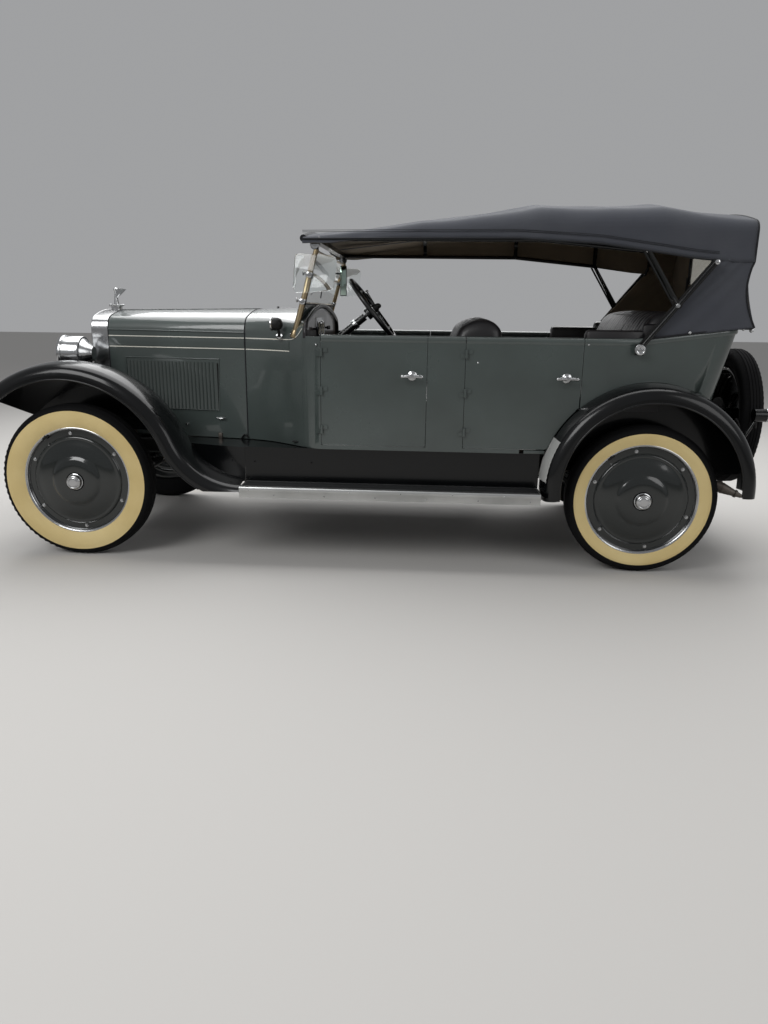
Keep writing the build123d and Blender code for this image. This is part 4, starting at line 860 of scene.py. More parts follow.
@dataclass
class SoftTop:
    """The raised top: roof, quarters, back curtain and their fastenings.

    Attributes:
        rows: The bows: station, half width, height, crown's radius and shoulders' radius.
        edge: Lower edge of the roof's side: station and height.
        rail: The body's top edge under the quarter: station and height.
        quarter_foot: Where the quarter's front edge meets the body.
        quarter_head: Where it meets the roof.
        sag: How far the cloth dips between bows.
        tail: Station of the rear bow.
        long_parts: Quads along the roof.
        wide_parts: Quads across it.
    """

    rows: tuple = (
        (1290, 662, 1812, 3500, 40),
        (1900, 676, 1886, 3200, 60),
        (2515, 690, 1972, 2800, 100),
        (3139, 690, 1976, 2800, 110),
        (3610, 650, 1925, 2400, 55),
    )
    edge: tuple = (
        (1290, 1738), (1900, 1743), (2400, 1745), (2820, 1722), (3330, 1652), (3425, 1646), (3610, 1640),
    )
    rail: tuple = ((2900, 1248), (3060, 1248), (3634, 1320))
    quarter_foot: float = 3085
    quarter_head: float = 3418
    sag: float = 9
    tail: float = 3610
    long_parts: int = 92
    wide_parts: int = 84

    def __post_init__(self) -> None:
        """Works out the roof's outlines."""
        self.sections = [self.section(x) for x in spread(self.rows[0][0], self.tail, self.long_parts)]

    def half_at(self, x: float) -> float:
        """Half width of the roof at a station."""
        return blend_rows(self.rows, x)[0]

    def edge_at(self, x: float) -> float:
        """Height of the roof's lower edge at a station."""
        return blend_rows(self.edge, x)[0]

    def section(self, x: float) -> list[Pair]:
        """Outline of the roof at a station, from the left edge over to the right, evenly spaced.

        Args:
            x: The station.

        Returns:
            Points of (y, z).
        """
        half, top, crown, round_r = blend_rows(self.rows, x)
        bows = [row[0] for row in self.rows]
        for a, b in zip(bows, bows[1:]):
            if a < x < b:
                dip = math.sin(math.pi * (x - a) / (b - a))
                top -= self.sag * dip
                half -= self.sag * 0.35 * dip
        outline = arch_line(half, self.edge_at(x), top, crown, round_r)
        lengths = [0.0]
        for a, b in zip(outline, outline[1:]):
            lengths.append(lengths[-1] + math.dist(a, b))
        found = []
        for want in spread(0, lengths[-1], self.wide_parts):
            index = max(i for i, length in enumerate(lengths[:-1]) if length <= want + 1e-9)
            part = (want - lengths[index]) / (lengths[index + 1] - lengths[index])
            a, b = outline[index], outline[index + 1]
            found.append((a[0] + (b[0] - a[0]) * part, a[1] + (b[1] - a[1]) * part))
        return found

    def roof_point(self, u: float, v: float) -> Vector:
        """A point of the roof.

        Args:
            u: Share of its length, front to rear.
            v: Share of its width, left to right.

        Returns:
            The point in the frame.
        """
        x = self.rows[0][0] + (self.tail - self.rows[0][0]) * u
        y, z = self.sections[round(u * self.long_parts)][round(v * self.wide_parts)]
        edge = max(0.0, 1 - min(v, 1 - v) * 28)
        crease = 1.6 * math.sin(x / 21.0) * edge + 1.2 * math.sin(x / 57.0 + 9 * v)
        down = abs(v - 0.5) * 2
        wave = 3.2 * math.sin((x + 640 * down) / 62.0 + 2.0 * math.sin(x / 330.0))
        folds = wave * max(0.0, down - 0.55) * (1 - edge)
        return at(x, y + math.copysign(edge * 5 + folds, y), z + crease + folds)

    @staticmethod
    def draw(v: float) -> float:
        """How far the curtain stands behind the rear bow, by share of its height."""
        return 42 * (1 - v) ** 2 - 30 * math.sin(math.pi * v)

    def quarter_point(self, u: float, v: float) -> Vector:
        """A point of the left quarter.

        Args:
            u: Share of its length, from the main bow to the rear corner.
            v: Share of its height.

        Returns:
            The point in the frame.
        """
        low = blend_rows(self.rail, self.quarter_foot + (self.tail - self.quarter_foot) * u)[0]
        front = self.quarter_foot + (self.quarter_head - self.quarter_foot) * v
        x = front + (self.tail - front) * u
        hollow = 7 * math.sin(math.pi * u) * math.sin(math.pi * v)
        pull = 3 * math.sin((u * 1.3 - v) * 14) * math.sin(math.pi * u)
        rise = (self.edge_at(x) + 12 - low) * v
        return at(x + self.draw(v) * u, -self.half_at(x) + hollow + pull, low + rise)

    def back_point(self, u: float, v: float) -> Vector:
        """A point of the back curtain.

        Args:
            u: Share of its width, left to right.
            v: Share of its height.

        Returns:
            The point in the frame.
        """
        half = self.half_at(self.tail)
        y = -half + 2 * half * u
        section = self.sections[-1]
        if abs(y) < half - 2:
            high = blend_rows(sorted(spot for spot in section if spot[1] > 1700), y)[0]
        else:
            high = max(z for edge_y, z in section if abs(abs(edge_y) - half) < 1.5)
        low = blend_rows(self.rail, self.tail)[0]
        hollow = 8 * math.sin(math.pi * v) * math.sin(math.pi * u)
        return at(self.tail + self.draw(v) - hollow, y, low + (high - low) * v)

    @staticmethod
    def curtain(u: float, v: float) -> bool:
        """Whether the back curtain has cloth there, which it hasn't in its window."""
        return not (0.262 < u < 0.738 and 0.4 < v < 0.69)

    def cloth(self) -> None:
        """The whole cover as one sewn sheet with its drill lining."""
        shape = Shape(TOP_CLOTH)
        shape.skin(self.long_parts, self.wide_parts, self.roof_point)
        left = shape.skin(30, 30, self.quarter_point)
        shape.mirror(left + list({f for v in left for f in v.link_faces}))
        shape.skin(42, 24, self.back_point, keep=self.curtain)
        shape.finishes = [TOP_CLOTH, LINING]
        cover = shape.done("top_cover", CAR, "top_cloth", "canopy", angle=60, outwards=False)
        centre = at(2450, 0, 1500)
        mesh = bmesh.new()
        mesh.from_mesh(cover.data)
        flip = [f for f in mesh.faces if f.normal.dot(f.calc_center_median() - centre) < 0]
        bmesh.ops.reverse_faces(mesh, faces=flip)
        area = sum(f.calc_area() for f in mesh.faces)
        log.info("top cover area %.3f", area)
        mesh.to_mesh(cover.data)
        mesh.free()
        wall = cover.modifiers.new("wall", "SOLIDIFY")
        wall.thickness = 0.004
        wall.offset = -1
        wall.material_offset = 1

    def hem(self, rise: float, out: float) -> list[Point]:
        """Points along the roof's lower left edge.

        Args:
            rise: How far above the edge.
            out: How far outside the cloth.

        Returns:
            The points.
        """
        run = spread(1292, self.quarter_head + 6, 40)
        return [(x, -self.half_at(x) - out, self.edge_at(x) + rise) for x in run]

    def trim(self) -> None:
        """Bindings and hems, corner piping and the header's roll."""
        shape = Shape(BINDING)
        front, rear = self.sections[0], self.sections[-1]
        shape.pipe(self.hem(2, 6), 5)
        for rise in (36, 44):
            shape.pipe(self.hem(rise, 5.4), 1.4, sides=1)
        foot = (self.quarter_foot, -self.half_at(self.quarter_foot) - 2, 1250)
        head = (self.quarter_head, -self.half_at(self.quarter_head) - 4, 1652)
        shape.pipe([foot, head], 5)
        down = [station(self.quarter_point(1, 1 - k / 10)) for k in range(1, 11)]
        shape.pipe([(self.tail + 1, y, z) for y, z in reversed(rear[:25])] + down, 5)
        shape.pipe([(x, y - 3, belt_z(x) + 7) for x, y, _ in body_line(3092, belt_z, 3)], 5)
        shape.both()
        shape.pipe([(self.tail + 1, y, z) for y, z in rear[20:-20]], 5)
        shape.pipe([(1288, y * 0.995, z - 9) for y, z in front[5:-5]], 19, sides=4)
        shape.done("top_bindings", CAR, "top_cloth")

    def window(self) -> None:
        """Celluloid pane sewn into the back curtain, with its bound frame."""
        shape = Shape(BINDING)
        x, y0, z0 = station(self.back_point(0.25, 0.38))
        _, y1, z1 = station(self.back_point(0.75, 0.71))
        for y in (y0, y1):
            shape.box((x - 12, y - 16, z0 - 14), (x + 10, y + 16, z1 + 14), 3)
        for z in (z0, z1):
            shape.box((x - 12, y0, z - 14), (x + 10, y1, z + 14), 3)
        shape.wear(CELLULOID)
        shape.box((x - 3, y0, z0), (x - 1.5, y1, z1))
        shape.done("rear_window_pane", CAR, "top_cloth")

    def fittings(self) -> None:
        """Bow irons' bolts, the body knobs, snap studs and the quarter's corner brackets."""
        shape = Shape(NICKEL)
        # The body's knob, then the bolts at the irons' head, crossing and upper end
        for centre, steps, profile in (
            ((3058, -736, 1200), 32,
             [(0, 16), (4, 27), (9, 29), (13, 26), (14, 20), (12, 17), (12, 11), (16, 9), (17, 0)]),
            ((3400, -722, 1636), 24, [(-4, 13), (4, 14), (9, 12), (11, 7), (16, 6), (17, 0)]),
            ((3231, -722, 1421), 20, [(-4, 11), (3, 12), (7, 9), (8, 0)]),
            ((3061, -684, 1690), 16, [(-2, 9), (3, 10), (6, 7), (7, 0)]),
        ):
            shape.turned(profile, centre, LEFT, steps)
        # Snaps of the quarter's hem, of the doors' curtains and of the corner bracket
        for x in (3318, 3540):
            y = [spot for spot in body_line(3085, belt_z, 2) if spot[0] <= x][-1][1]
            shape.stud((x, y - 2, belt_z(x) + 12), LEFT, 11)
        for x, z in ((2798, 1221), (2228, 1120), (1366, 1201)):
            shape.stud((x, -BODY_HALF, z), LEFT, 7)
        for x, y, z in ((3596, -620, 1330), (3624, -603, 1342), (3640, -578, 1318), (3612, -614, 1308)):
            shape.stud((x, y, z), LEFT, 9)
        for x, y, z in ((3590, -622, 1322), (3622, -618, 1334), (3652, -600, 1322), (3662, -584, 1302)):
            shape.rod((x, y, z), (x, y - 16, z), 11, 9, 16, 3)
        shape.wear(CHASSIS)
        shape.box((3560, -622, 1306), (3664, -556, 1340), 10)
        shape.pipe([(3560, -618, 1330), (3610, -616, 1352), (3662, -590, 1340), (3672, -560, 1316)], 9)
        shape.box((3034, -735, 1172), (3082, -727, 1228), 3)
        shape.both()
        shape.done("top_fittings", CAR, "nickel")

    def irons(self) -> None:
        """Flat wooden main bows along the slanting irons, with straps from bow to bow under the roof."""
        shape = Shape(CHASSIS)
        start, end = Vector((3066, -716, 1214)), Vector((3406, -708, 1644))
        run = (end - start).normalized()
        across = Vector((run.z, 0, -run.x)) * 17
        outline = [tuple(spot) for spot in (start - across, start + across, end + across, end - across)]
        shape.slab(outline, (0, 18, 0), 5)
        shape.rods(
            ((3070, -690, 1688), (3236, -704, 1426), 11, 13, 16),
            ((3044, -690, 1688), (3212, -704, 1426), 6, 6, 12),
            ((3236, -716, 1426), (3236, -690, 1426), 20, 20, 20, 3),
        )
        shape.wear(BINDING)
        for y in (-420, -140):
            spots = []
            for x in spread(1330, 3560, 18):
                top, crown = blend_rows(self.rows, x)[1:3]
                spots.append((x, y, crown_z(top, crown, y) - 26))
            shape.moulding(spots, [(-22, -1), (22, -1), (22, 1), (-22, 1)])
        shape.both()
        shape.done("bow_woods", CAR, "bow_black")

    def build(self) -> None:
        """The whole top."""
        self.cloth()
        self.trim()
        self.window()
        self.fittings()
        self.irons()


@dataclass
class Seat:
    """A bench with fluted cushion and back.

    Attributes:
        name: The CAD seat's name.
        front: Station of the cushion's front.
        back: Station of the back's face at its top.
        half: Half width.
        cushion_z: Height of the cushion's top.
        base_z: Height of the box's foot.
        top_z: Height of the back's top.
        lean: How far the back's foot is ahead of its top.
        shoulder_half: Half width above the shoulders.
        shoulder_z: Where the shoulders are.
        arms: Whether padded arms stand at its sides.
        thick: The back's thickness.
        flute: Width of a flute.
        depth: How deep the seams between flutes are.
    """

    name: str
    front: float
    back: float
    half: float
    cushion_z: float
    base_z: float
    top_z: float
    lean: float
    shoulder_half: float
    shoulder_z: float
    arms: bool = False
    thick: float = 275
    flute: float = 58
    depth: float = 10

    def pad(self, name: str, outline: list[Pair], fluted: Callable[[float, float], float],
            *nodes: str) -> None:
        """Makes a padded piece: an outline in x and z across the car, fluted and rounded at its ends.

        Args:
            name: The piece's name.
            outline: The closed outline, before it is rounded.
            fluted: Share of the flutes' depth at a point of the outline.
            nodes: CAD nodes that it stands for.
        """
        points = self.smooth(outline)
        count = len(points)
        middle = (sum(p[0] for p in points) / count, sum(p[1] for p in points) / count)

        def place(u: float, v: float) -> Vector:
            """A point of the cover.

            Args:
                u: Share of the width.
                v: Share of the outline.

            Returns:
                The point in the frame.
            """
            x, z = points[round(v * count) % count]
            share = fluted(x, z)
            wide = min(1.0, max(0.0, (z - self.shoulder_z) / 40))
            half = self.half + (self.shoulder_half - self.half) * wide
            y = -half + 2 * half * u
            end = min(1.0, (half - abs(y)) / 55)
            ease = 1 - 0.2 * (1 - end) ** 2.4
            ridge = abs(math.sin(math.pi * (y + half) / self.flute))
            dent = (1 - ridge) ** 3 * self.depth * share
            crown = 9 * math.cos(y / half * math.pi / 2) * share
            pucker = 1.6 * math.sin(y / 17) * math.sin(x / 31 + z / 23) * share
            away = Vector((x - middle[0], 0, z - middle[1]))
            away = away.normalized() * (away.length * ease - dent + crown + pucker)
            return at(middle[0] + away.x, y, middle[1] + away.z)

        shape = Shape(HIDE)
        shape.close(shape.skin(int(2 * self.half / 7), count, place))
        shape.done(name, CAR, "leather", *nodes, angle=80)

    @staticmethod
    def smooth(points: list[Pair]) -> list[Pair]:
        """Rounds a closed outline by cutting its corners twice.

        Args:
            points: The outline.

        Returns:
            The rounder outline, with four times as many points.
        """
        for _ in range(2):
            points = [
                (a[0] * s + b[0] * (1 - s), a[1] * s + b[1] * (1 - s))
                for a, b in zip(points, points[1:] + points[:1]) for s in (0.75, 0.25)
            ]
        return points

    def cushion(self) -> None:
        """The cushion, fluted on its top."""
        f, b, z = self.front, self.back - self.lean + 24, self.cushion_z
        middle = (f + b) / 2
        outline = [(f + 8, z - 150), (f - 2, z - 110), (f - 6, z - 60), (f + 8, z - 24), (f + 44, z - 6),
                   (f + 110, z - 2), (f + 200, z - 8), (middle + 30, z - 16), (b - 60, z - 28),
                   (b - 12, z - 36), (b, z - 60), (b - 4, z - 110), (b - 30, z - 150), (middle, z - 154)]
        self.pad(f"{self.name}_cushion", outline, lambda x, high: 1.0 if high > z - 70 else 0.0, self.name)

    def rest(self) -> None:
        """The back with its roll, fluted on its face and over its top."""
        foot, face, z, t = self.back - self.lean, self.back, self.cushion_z, self.top_z
        rear = self.back + self.thick
        outline = [(foot + 8, z - 50), (foot + 12, z + 20), (face - self.lean * 0.66 - 2, z + 120),
                   (face - self.lean * 0.33 - 2, z + 220), (face, 1200), (face + 34, 1290),
                   (face + 84, t - 26), (face + self.thick / 2 + 20, t - 4), (rear - 52, t - 20),
                   (rear - 12, 1290), (rear - 6, 1240), (rear - 24, 1150), (rear - 46, 1000),
                   (rear - 68, 820), (rear - 86, 700), (face + 60, 694), (foot + 30, z - 70)]
        self.pad(f"{self.name}_back", outline, lambda x, high: 1.0 if high > 1270 or x < face + 40 else 0.0)

    def riser(self) -> None:
        """The box below, the cushion's piping and the arms."""
        shape = Shape(CARPET)
        f, back, z = self.front, self.back, self.cushion_z
        shape.box((f + 14, -self.half + 14, self.base_z), (back + 118, self.half - 14, z - 148), 6)
        shape.wear(HIDE)
        for high in (z - 66, z - 140):
            shape.pipe([(f - 2, -self.half + 40, high), (f - 6, 0, high), (f - 2, self.half - 40, high)], 4)
        if self.arms:
            shape.box((2790, -672, 1150), (back + 40, -596, 1296), 24)
            shape.box((back + 20, -664, 1180), (back + 200, -606, 1330), 24)
            shape.both()
        shape.done(f"{self.name}_riser", CAR, "leather")

    def build(self) -> None:
        """Every piece of the seat."""
        self.cushion()
        self.rest()
        self.riser()


@dataclass
class BodyTrim:
    """Rolled top edge, belt moulding, stripes and the hood's seams.

    Attributes:
        band_z: Height of the belt band's middle.
        band_half: Half of its width.
        stripe: Width of a coach line.
        hood: First and last station of what runs along the hood.
        cowl: The same along the cowl.
        louvres: How many louvres a side has.
        louvre_step: Station from one to the next.
    """

    band_z: float = 1190
    band_half: float = 31
    stripe: float = 5
    hood: Pair = (46, 903)
    cowl: Pair = (914, 1196)
    louvres: int = 25
    louvre_step: float = 23

    @staticmethod
    def cap(body: str, name: str, path: Sequence[Point]) -> None:
        """The rounded top edge of one panel, on both sides unless it is a door.

        Args:
            body: The CAD body it rides on.
            name: The piece's name.
            path: Points of the panel's outer top edge, height measured at the body's top.
        """
        shape = Shape(COACH)
        shape.moulding(path, [(0.5, -26), (3, -20), (4, -8), (2, 2), (-6, 8), (-20, 10), (-36, 8), (-46, 1),
                              (-48, -8), (-46, -20), (-44, -26)])
        if body == CAR:
            shape.both()
        shape.done(name, body, "body_paint", angle=50)

    def caps(self) -> None:
        """Every panel's top edge."""
        self.cap(CAR, "pillar_cap", [(x, -BODY_HALF, BELT_Z) for x in spread(1963, 2161, 4)])
        self.cap(CAR, "tub_cap", body_line(2778, belt_z))
        for side in ("left", "right"):
            for end, first, last in (("front", 1392, 1960), ("rear", 2166, 2775)):
                path = [(x, -BODY_HALF, BELT_Z) for x in spread(first, last, 8)]
                self.cap(f"{end}_{side}_door", f"{end}_{side}_door_cap", path)

    def band(self) -> None:
        """Raised belt band with a stripe at each edge, the upper one curling up to the post."""
        shape = Shape(COACH)
        low, high = self.band_z - self.band_half, self.band_z + self.band_half
        half = self.stripe / 2
        bead = [(-1, -28), (2.2, -25), (2.8, 0), (2.2, 25), (-1, 28)]
        line = [(-1, -half), (1.2, -half), (1.2, half), (-1, half)]
        on_hood, on_cowl = (*self.hood, 2), (*self.cowl, 14)
        for finish, z, section, run in (
            (COACH, self.band_z, bead, on_hood), (COACH, self.band_z, bead, on_cowl),
            (STRIPE, high, line, on_hood), (STRIPE, low, line, on_hood),
            (STRIPE, high, line, (self.cowl[0], 1180, 14)), (STRIPE, low, line, on_cowl),
        ):
            shape.wear(finish)
            shape.moulding([(x, -side_y(x), z) for x in spread(*run)], section)
        curl = ((1180, 0), (1205, 1), (1230, 8), (1252, 24), (1268, 44), (1280, 62))
        shape.pipe([(x, -side_y(x) - 1, high + rise) for x, rise in curl], 2.2, sides=2)
        shape.both()
        shape.done("belt_band", CAR, "body_paint")

    @staticmethod
    def seams() -> None:
        """Hinge rods along the hood's top and shoulders and the dark lacing under its ends."""
        shape = Shape(COACH)
        top_run, shoulder_run = [], []
        for x in spread(46, 905, 22):
            half, top, crown, round_r = blend_rows(HOOD, x)
            y, z = arch_line(half, SILL_Z, top, crown, round_r)[SIDE_PARTS]
            top_run.append((x, 0, top + 1))
            shoulder_run.append((x, y - 1, z))
        for run, radius in ((top_run, 5.0), (shoulder_run, 4.2)):
            for a, b in zip(run, run[1:]):
                shape.rod(a, tuple(Vector(b) - (Vector(b) - Vector(a)) * 0.04), radius, sides=10)
        shape.rod(shoulder_run[0], shoulder_run[-1], 3.6, sides=10)
        shape.both()
        shape.wear(BINDING)
        for x, row in ((908.5, HOOD[1]), (43.5, HOOD[0])):
            half, top, crown, round_r = row[1:]
            shape.pipe([(x, y, z) for y, z in arch_line(half, 644, top, crown, round_r)], 3.6, sides=2)
        shape.done("hood_seams", CAR, "body_paint")

    @staticmethod
    def on_side(x: float, z: float, inboard: float = 0) -> Point:
        """The middle of a bead on the left side's skin, or a point some way inboard of it."""
        return (x, -side_y(x) - 1 + inboard, z)

    def catches(self) -> None:
        """Raised bead round the louvres, dark rods in the louvres' slots as painted shade, the hood's
        catches, its lift handle and the apron's bolts.
        """
        shape = Shape(COACH)
        spot = self.on_side
        corners = [(150, 1098), (745, 1098), (735, 800), (150, 800)]
        for a, b in zip(corners, corners[1:] + corners[:1]):
            shape.rod(spot(*a), spot(*b), 3.2, sides=10)
            shape.ball(spot(*a), 3.4, sides=8)
        # Dark rods sunk beside each louvre blade: painted shade in the slot under the blade
        shape.wear(CHASSIS)
        for k in range(self.louvres):
            x = 182.5 + self.louvre_step * k
            shape.rod(spot(x, 806, 2.8), spot(x, 1074, 2.8), 5, sides=8)
        shape.wear(NICKEL)
        x, y, _ = spot(746, 0)
        shape.rod((x, y + 1, 754), (x, y - 15, 754), 7, 5, 14)
        shape.pipe([(x - 26, y - 17, 761), (x - 12, y - 15, 753), (x, y - 14, 756), (x + 12, y - 15, 753),
                    (x + 26, y - 17, 761)], 4.5)
        shape.wear(STEEL)
        for x in (180, 736):
            y = spot(x, 0, -8)[1]
            shape.boxes(((x - 24, y - 8, 612), (x + 24, y + 3, 624), 4),
                        ((x - 9, y - 10, 508), (x + 9, y + 6, 522), 4),
                        ((x - 12, y - 2, 624), (x + 12, y + 10, 668), 3))
            shape.rod((x, y - 3, 618), (x, y - 3, 516), 5.5)
        shape.wear(NICKEL)
        shape.rod(spot(525, 711, 1), spot(525, 711, -12), 6, 8, 14, 2)
        shape.rod((1017, 0, 1386), (1017, 0, 1402), 9, 7, 14, 2)
        shape.both()
        shape.wear(CHASSIS)
        shape.pipe([(870, -436, SILL_Z), (884, -440, 662), (900, -444, 668), (912, -446, 650)], 5)
        for x, y, z in ((720, -622, 600), (840, -668, 588), (878, -684, 560), (1010, -708, 560),
                        (1330, -708, 560)):
            shape.stud((x, y, z), LEFT, 7)
        shape.done("hood_catches", CAR, "nickel")

    @staticmethod
    def covers() -> None:
        """Close-fitting strips over the joint behind the cowl, and plates on the sills by the rear arches."""
        shape = Shape(COACH)

        def joint(u: float, v: float) -> Vector:
            """A point of the strip behind the cowl, by its shares of the width and of the height."""
            x = 1276 + 26 * u
            return at(x, -side_y(x) - (1.1 * math.sin(math.pi * u) + 0.3), 643 + 592 * v)

        shape.skin(6, 8, joint)
        shape.box((2494, -725.8, 641), (2604, -700, 658.5), 1)
        shape.both()
        shape.done("joint_covers", CAR, "body_paint", outwards=False)

    def build(self) -> None:
        """All of the trim."""
        self.covers()
        self.caps()
        self.band()
        self.seams()
        self.catches()


@dataclass
class DoorTrim:
    """What a door wears: handle, closing lips, inner panel and pocket."""

    # Front or rear, left or right, and the stations of the front and rear edge
    end: str
    side: str
    span: Pair
    handle_z: float = 1047
    sill_z: float = 666
    top_z: float = 1224
    arch_r: float = 567.5

    @property
    def body(self) -> str:
        """The door's CAD body."""
        return f"{self.end}_{self.side}_door"

    @property
    def handle_x(self) -> float:
        """Station of the handle."""
        return self.span[1] - 74

    def lips(self) -> None:
        """Thin lips that close the joints round the door."""
        shape = Shape(COACH)
        x0, x1 = self.span
        front = self.end == "front"
        for low, high in (((x0 - 3.6, self.sill_z), (x0, self.top_z)),
                          ((x1, self.sill_z if front else 950), (x1 + 3.6, self.top_z)),
                          ((x0 - 3, self.sill_z - 1.8), (x1 if front else 2606, self.sill_z + 3))):
            shape.box((low[0], -BODY_HALF - 0.2, low[1]), (high[0], -BODY_HALF + 6, high[1]), 0.6)
        if not front:
            arch = [spoke(REAR_ARCH, self.arch_r, turn, -BODY_HALF + 3) for turn in spread(-68.3, -44.2, 20)]
            shape.moulding(arch, [(-3, -2), (3, -2), (3, 2), (-3, 2)])
        shape.done(f"{self.body}_lips", self.body, "body_paint")

    def handle(self) -> None:
        """The outer handle with its rose."""
        shape = Shape(NICKEL)
        x, z = self.handle_x, self.handle_z
        shape.turned([(0, 25), (3, 25), (6, 20), (7, 15), (10, 11), (34, 8.5), (38, 11), (52, 11), (53, 0)],
                     (x, -BODY_HALF, z), LEFT, 28)
        grip = ((-50, -766, -2), (-28, -769, 0), (0, -770, 0), (28, -769, 0), (50, -766, -2))
        shape.pipe([(x + along, y, z + rise) for along, y, rise in grip], 9.6)
        for tip in (-51, 51):
            shape.ball((x + tip, -766, z - 2), 9.8, (1.1, 1, 1), 14)
        shape.done(f"{self.body}_handle", self.body, "nickel")

    def lining(self) -> None:
        """The inner panel with its pocket and the inner handle."""
        shape = Shape(HIDE)
        x0, x1 = self.span
        x, z = self.handle_x, self.handle_z
        shape.box((x0 + 34, -681.5, 690), (x1 - 40, -675, 1216), 3)
        shape.box((x0 + 70, -676, 740), (x1 - 90, -668, 960), 4)
        shape.pipe([(x0 + 66, -669, 960), ((x0 + x1) / 2, -667, 952), (x1 - 86, -669, 960)], 4)
        shape.wear(NICKEL)
        shape.rod((x, -676, z), (x, -655, z), 7)
        shape.pipe([(x - 2, -655, z), (x - 40, -653, z + 6), (x - 70, -655, z)], 6)
        shape.done(f"{self.body}_lining", self.body, "leather")

    def build(self) -> None:
        """Every piece of one door."""
        self.lips()
        self.handle()
        self.lining()


@dataclass
class Windscreen:
    """Tilted posts, rails between the panes, wing glasses and the mirror."""

    foot: Point = (1235, -612, 1262)
    head: Point = (1357, -612, 1693)
    # How far up the slope the wing glasses' clamps and the panes' rails are
    clamps: Pair = (168, 312)
    rails: Point = (162, 320, 440)

    def spot(self, up: float, y: float = -612, back: float = 0) -> Point:
        """A point of the windscreen.

        Args:
            up: How far up its slope.
            y: Where it is across the car, if not on the left post.
            back: How far rearwards of its plane.

        Returns:
            The point.
        """
        run = (Vector(self.head) - Vector(self.foot)).normalized()
        away = Vector((run.z, 0, -run.x))
        return tuple(Vector((self.foot[0], y, self.foot[2])) + run * up + away * back)

    def frame(self) -> None:
        """Posts with their feet, the panes' rails, clamps and wing nuts."""
        shape = Shape(POST)
        spot = self.spot
        high = (Vector(self.head) - Vector(self.foot)).length
        shape.rods((spot(-26), spot(high), 18, 14, 24), (spot(-30), spot(12), 24, 19, 24, 3))
        shape.wear(NICKEL)
        shape.ball(spot(-16, -604), 30, (1.1, 0.8, 0.5), 20)
        shape.turned([(-10, 26), (8, 26), (12, 22), (12, 10), (17, 8), (18, 0)], (1350, -618, 1716), LEFT, 28)
        for up in self.clamps:
            shape.rods((spot(up - 14), spot(up + 14), 19, 19, 20, 3), (spot(up), spot(up, -640), 8, 8, 14),
                       (spot(up, -626, -26), spot(up, -626, 6), 6, 6, 12))
            shape.ball(spot(up, -626, -32), 9, (0.7, 1, 1.5), 12)
        shape.wear(POST)
        for up in self.rails:
            shape.rod(spot(up, -600), spot(up, 0), 6, 6, 12)
        shape.both()
        shape.wear(COACH)
        skirt = [spot(up, y, 2) for up, y in ((-8, -560), (156, -598), (156, 598), (-8, 560))]
        shape.slab(skirt, tuple(Vector(spot(0, 0, 8)) - Vector(spot(0, 0, 2))), 1.5)
        shape.wear(BINDING)
        shape.pipe([spot(158, y, 4) for y in (-596, -300, 0, 300, 596)], 5)
        shape.done("windscreen_frame", CAR, "nickel", "windshield_frame")

    def wings(self) -> None:
        """Frameless side wings held by the posts' clamps."""
        shape = Shape(GLASS)
        outline = [(1270, 1670), (1252, 1664), (1243, 1645), (1232, 1505), (1236, 1482), (1252, 1470),
                   (1420, 1478), (1446, 1488), (1456, 1508), (1470, 1632), (1462, 1652), (1444, 1662)]
        shape.slab([(x, -640, z) for x, z in outline], (0, -5, 0), 0.8)
        shape.wear(NICKEL)
        for up in self.clamps:
            shape.turned([(0, 15), (3, 15), (5, 10), (9, 9), (10, 0)], self.spot(up, -645), LEFT, 20)
        shape.both()
        shape.done("wing_glasses", CAR, "clear_glass")

    @staticmethod
    def cowl_roll() -> None:
        """Mirror on its arm, wiper and the padded roll round the cowl's rear edge."""
        shape = Shape(CHASSIS)
        shape.box((1444, -306, 1462), (1482, -298, 1628), 4)
        shape.rod((1338, -300, 1588), (1446, -302, 1584), 5, 4, 12)
        shape.wear(MIRROR)
        shape.box((1446, -309, 1465), (1480, -305, 1625), 1.5)
        shape.wear(CHASSIS)
        shape.pipe([(1320, -180, 1600), (1330, -210, 1520), (1322, -250, 1450)], 3)
        shape.wear(HIDE)
        half, top, crown, round_r = blend_rows(COWL, 1292)
        shape.pipe([(1298, y, z + 2) for y, z in arch_line(half - 4, 1262, top, crown, round_r)], 13)
        shape.done("cowl_roll", CAR, "leather")

    def build(self) -> None:
        """All of the windscreen."""
        self.frame()
        self.wings()
        self.cowl_roll()


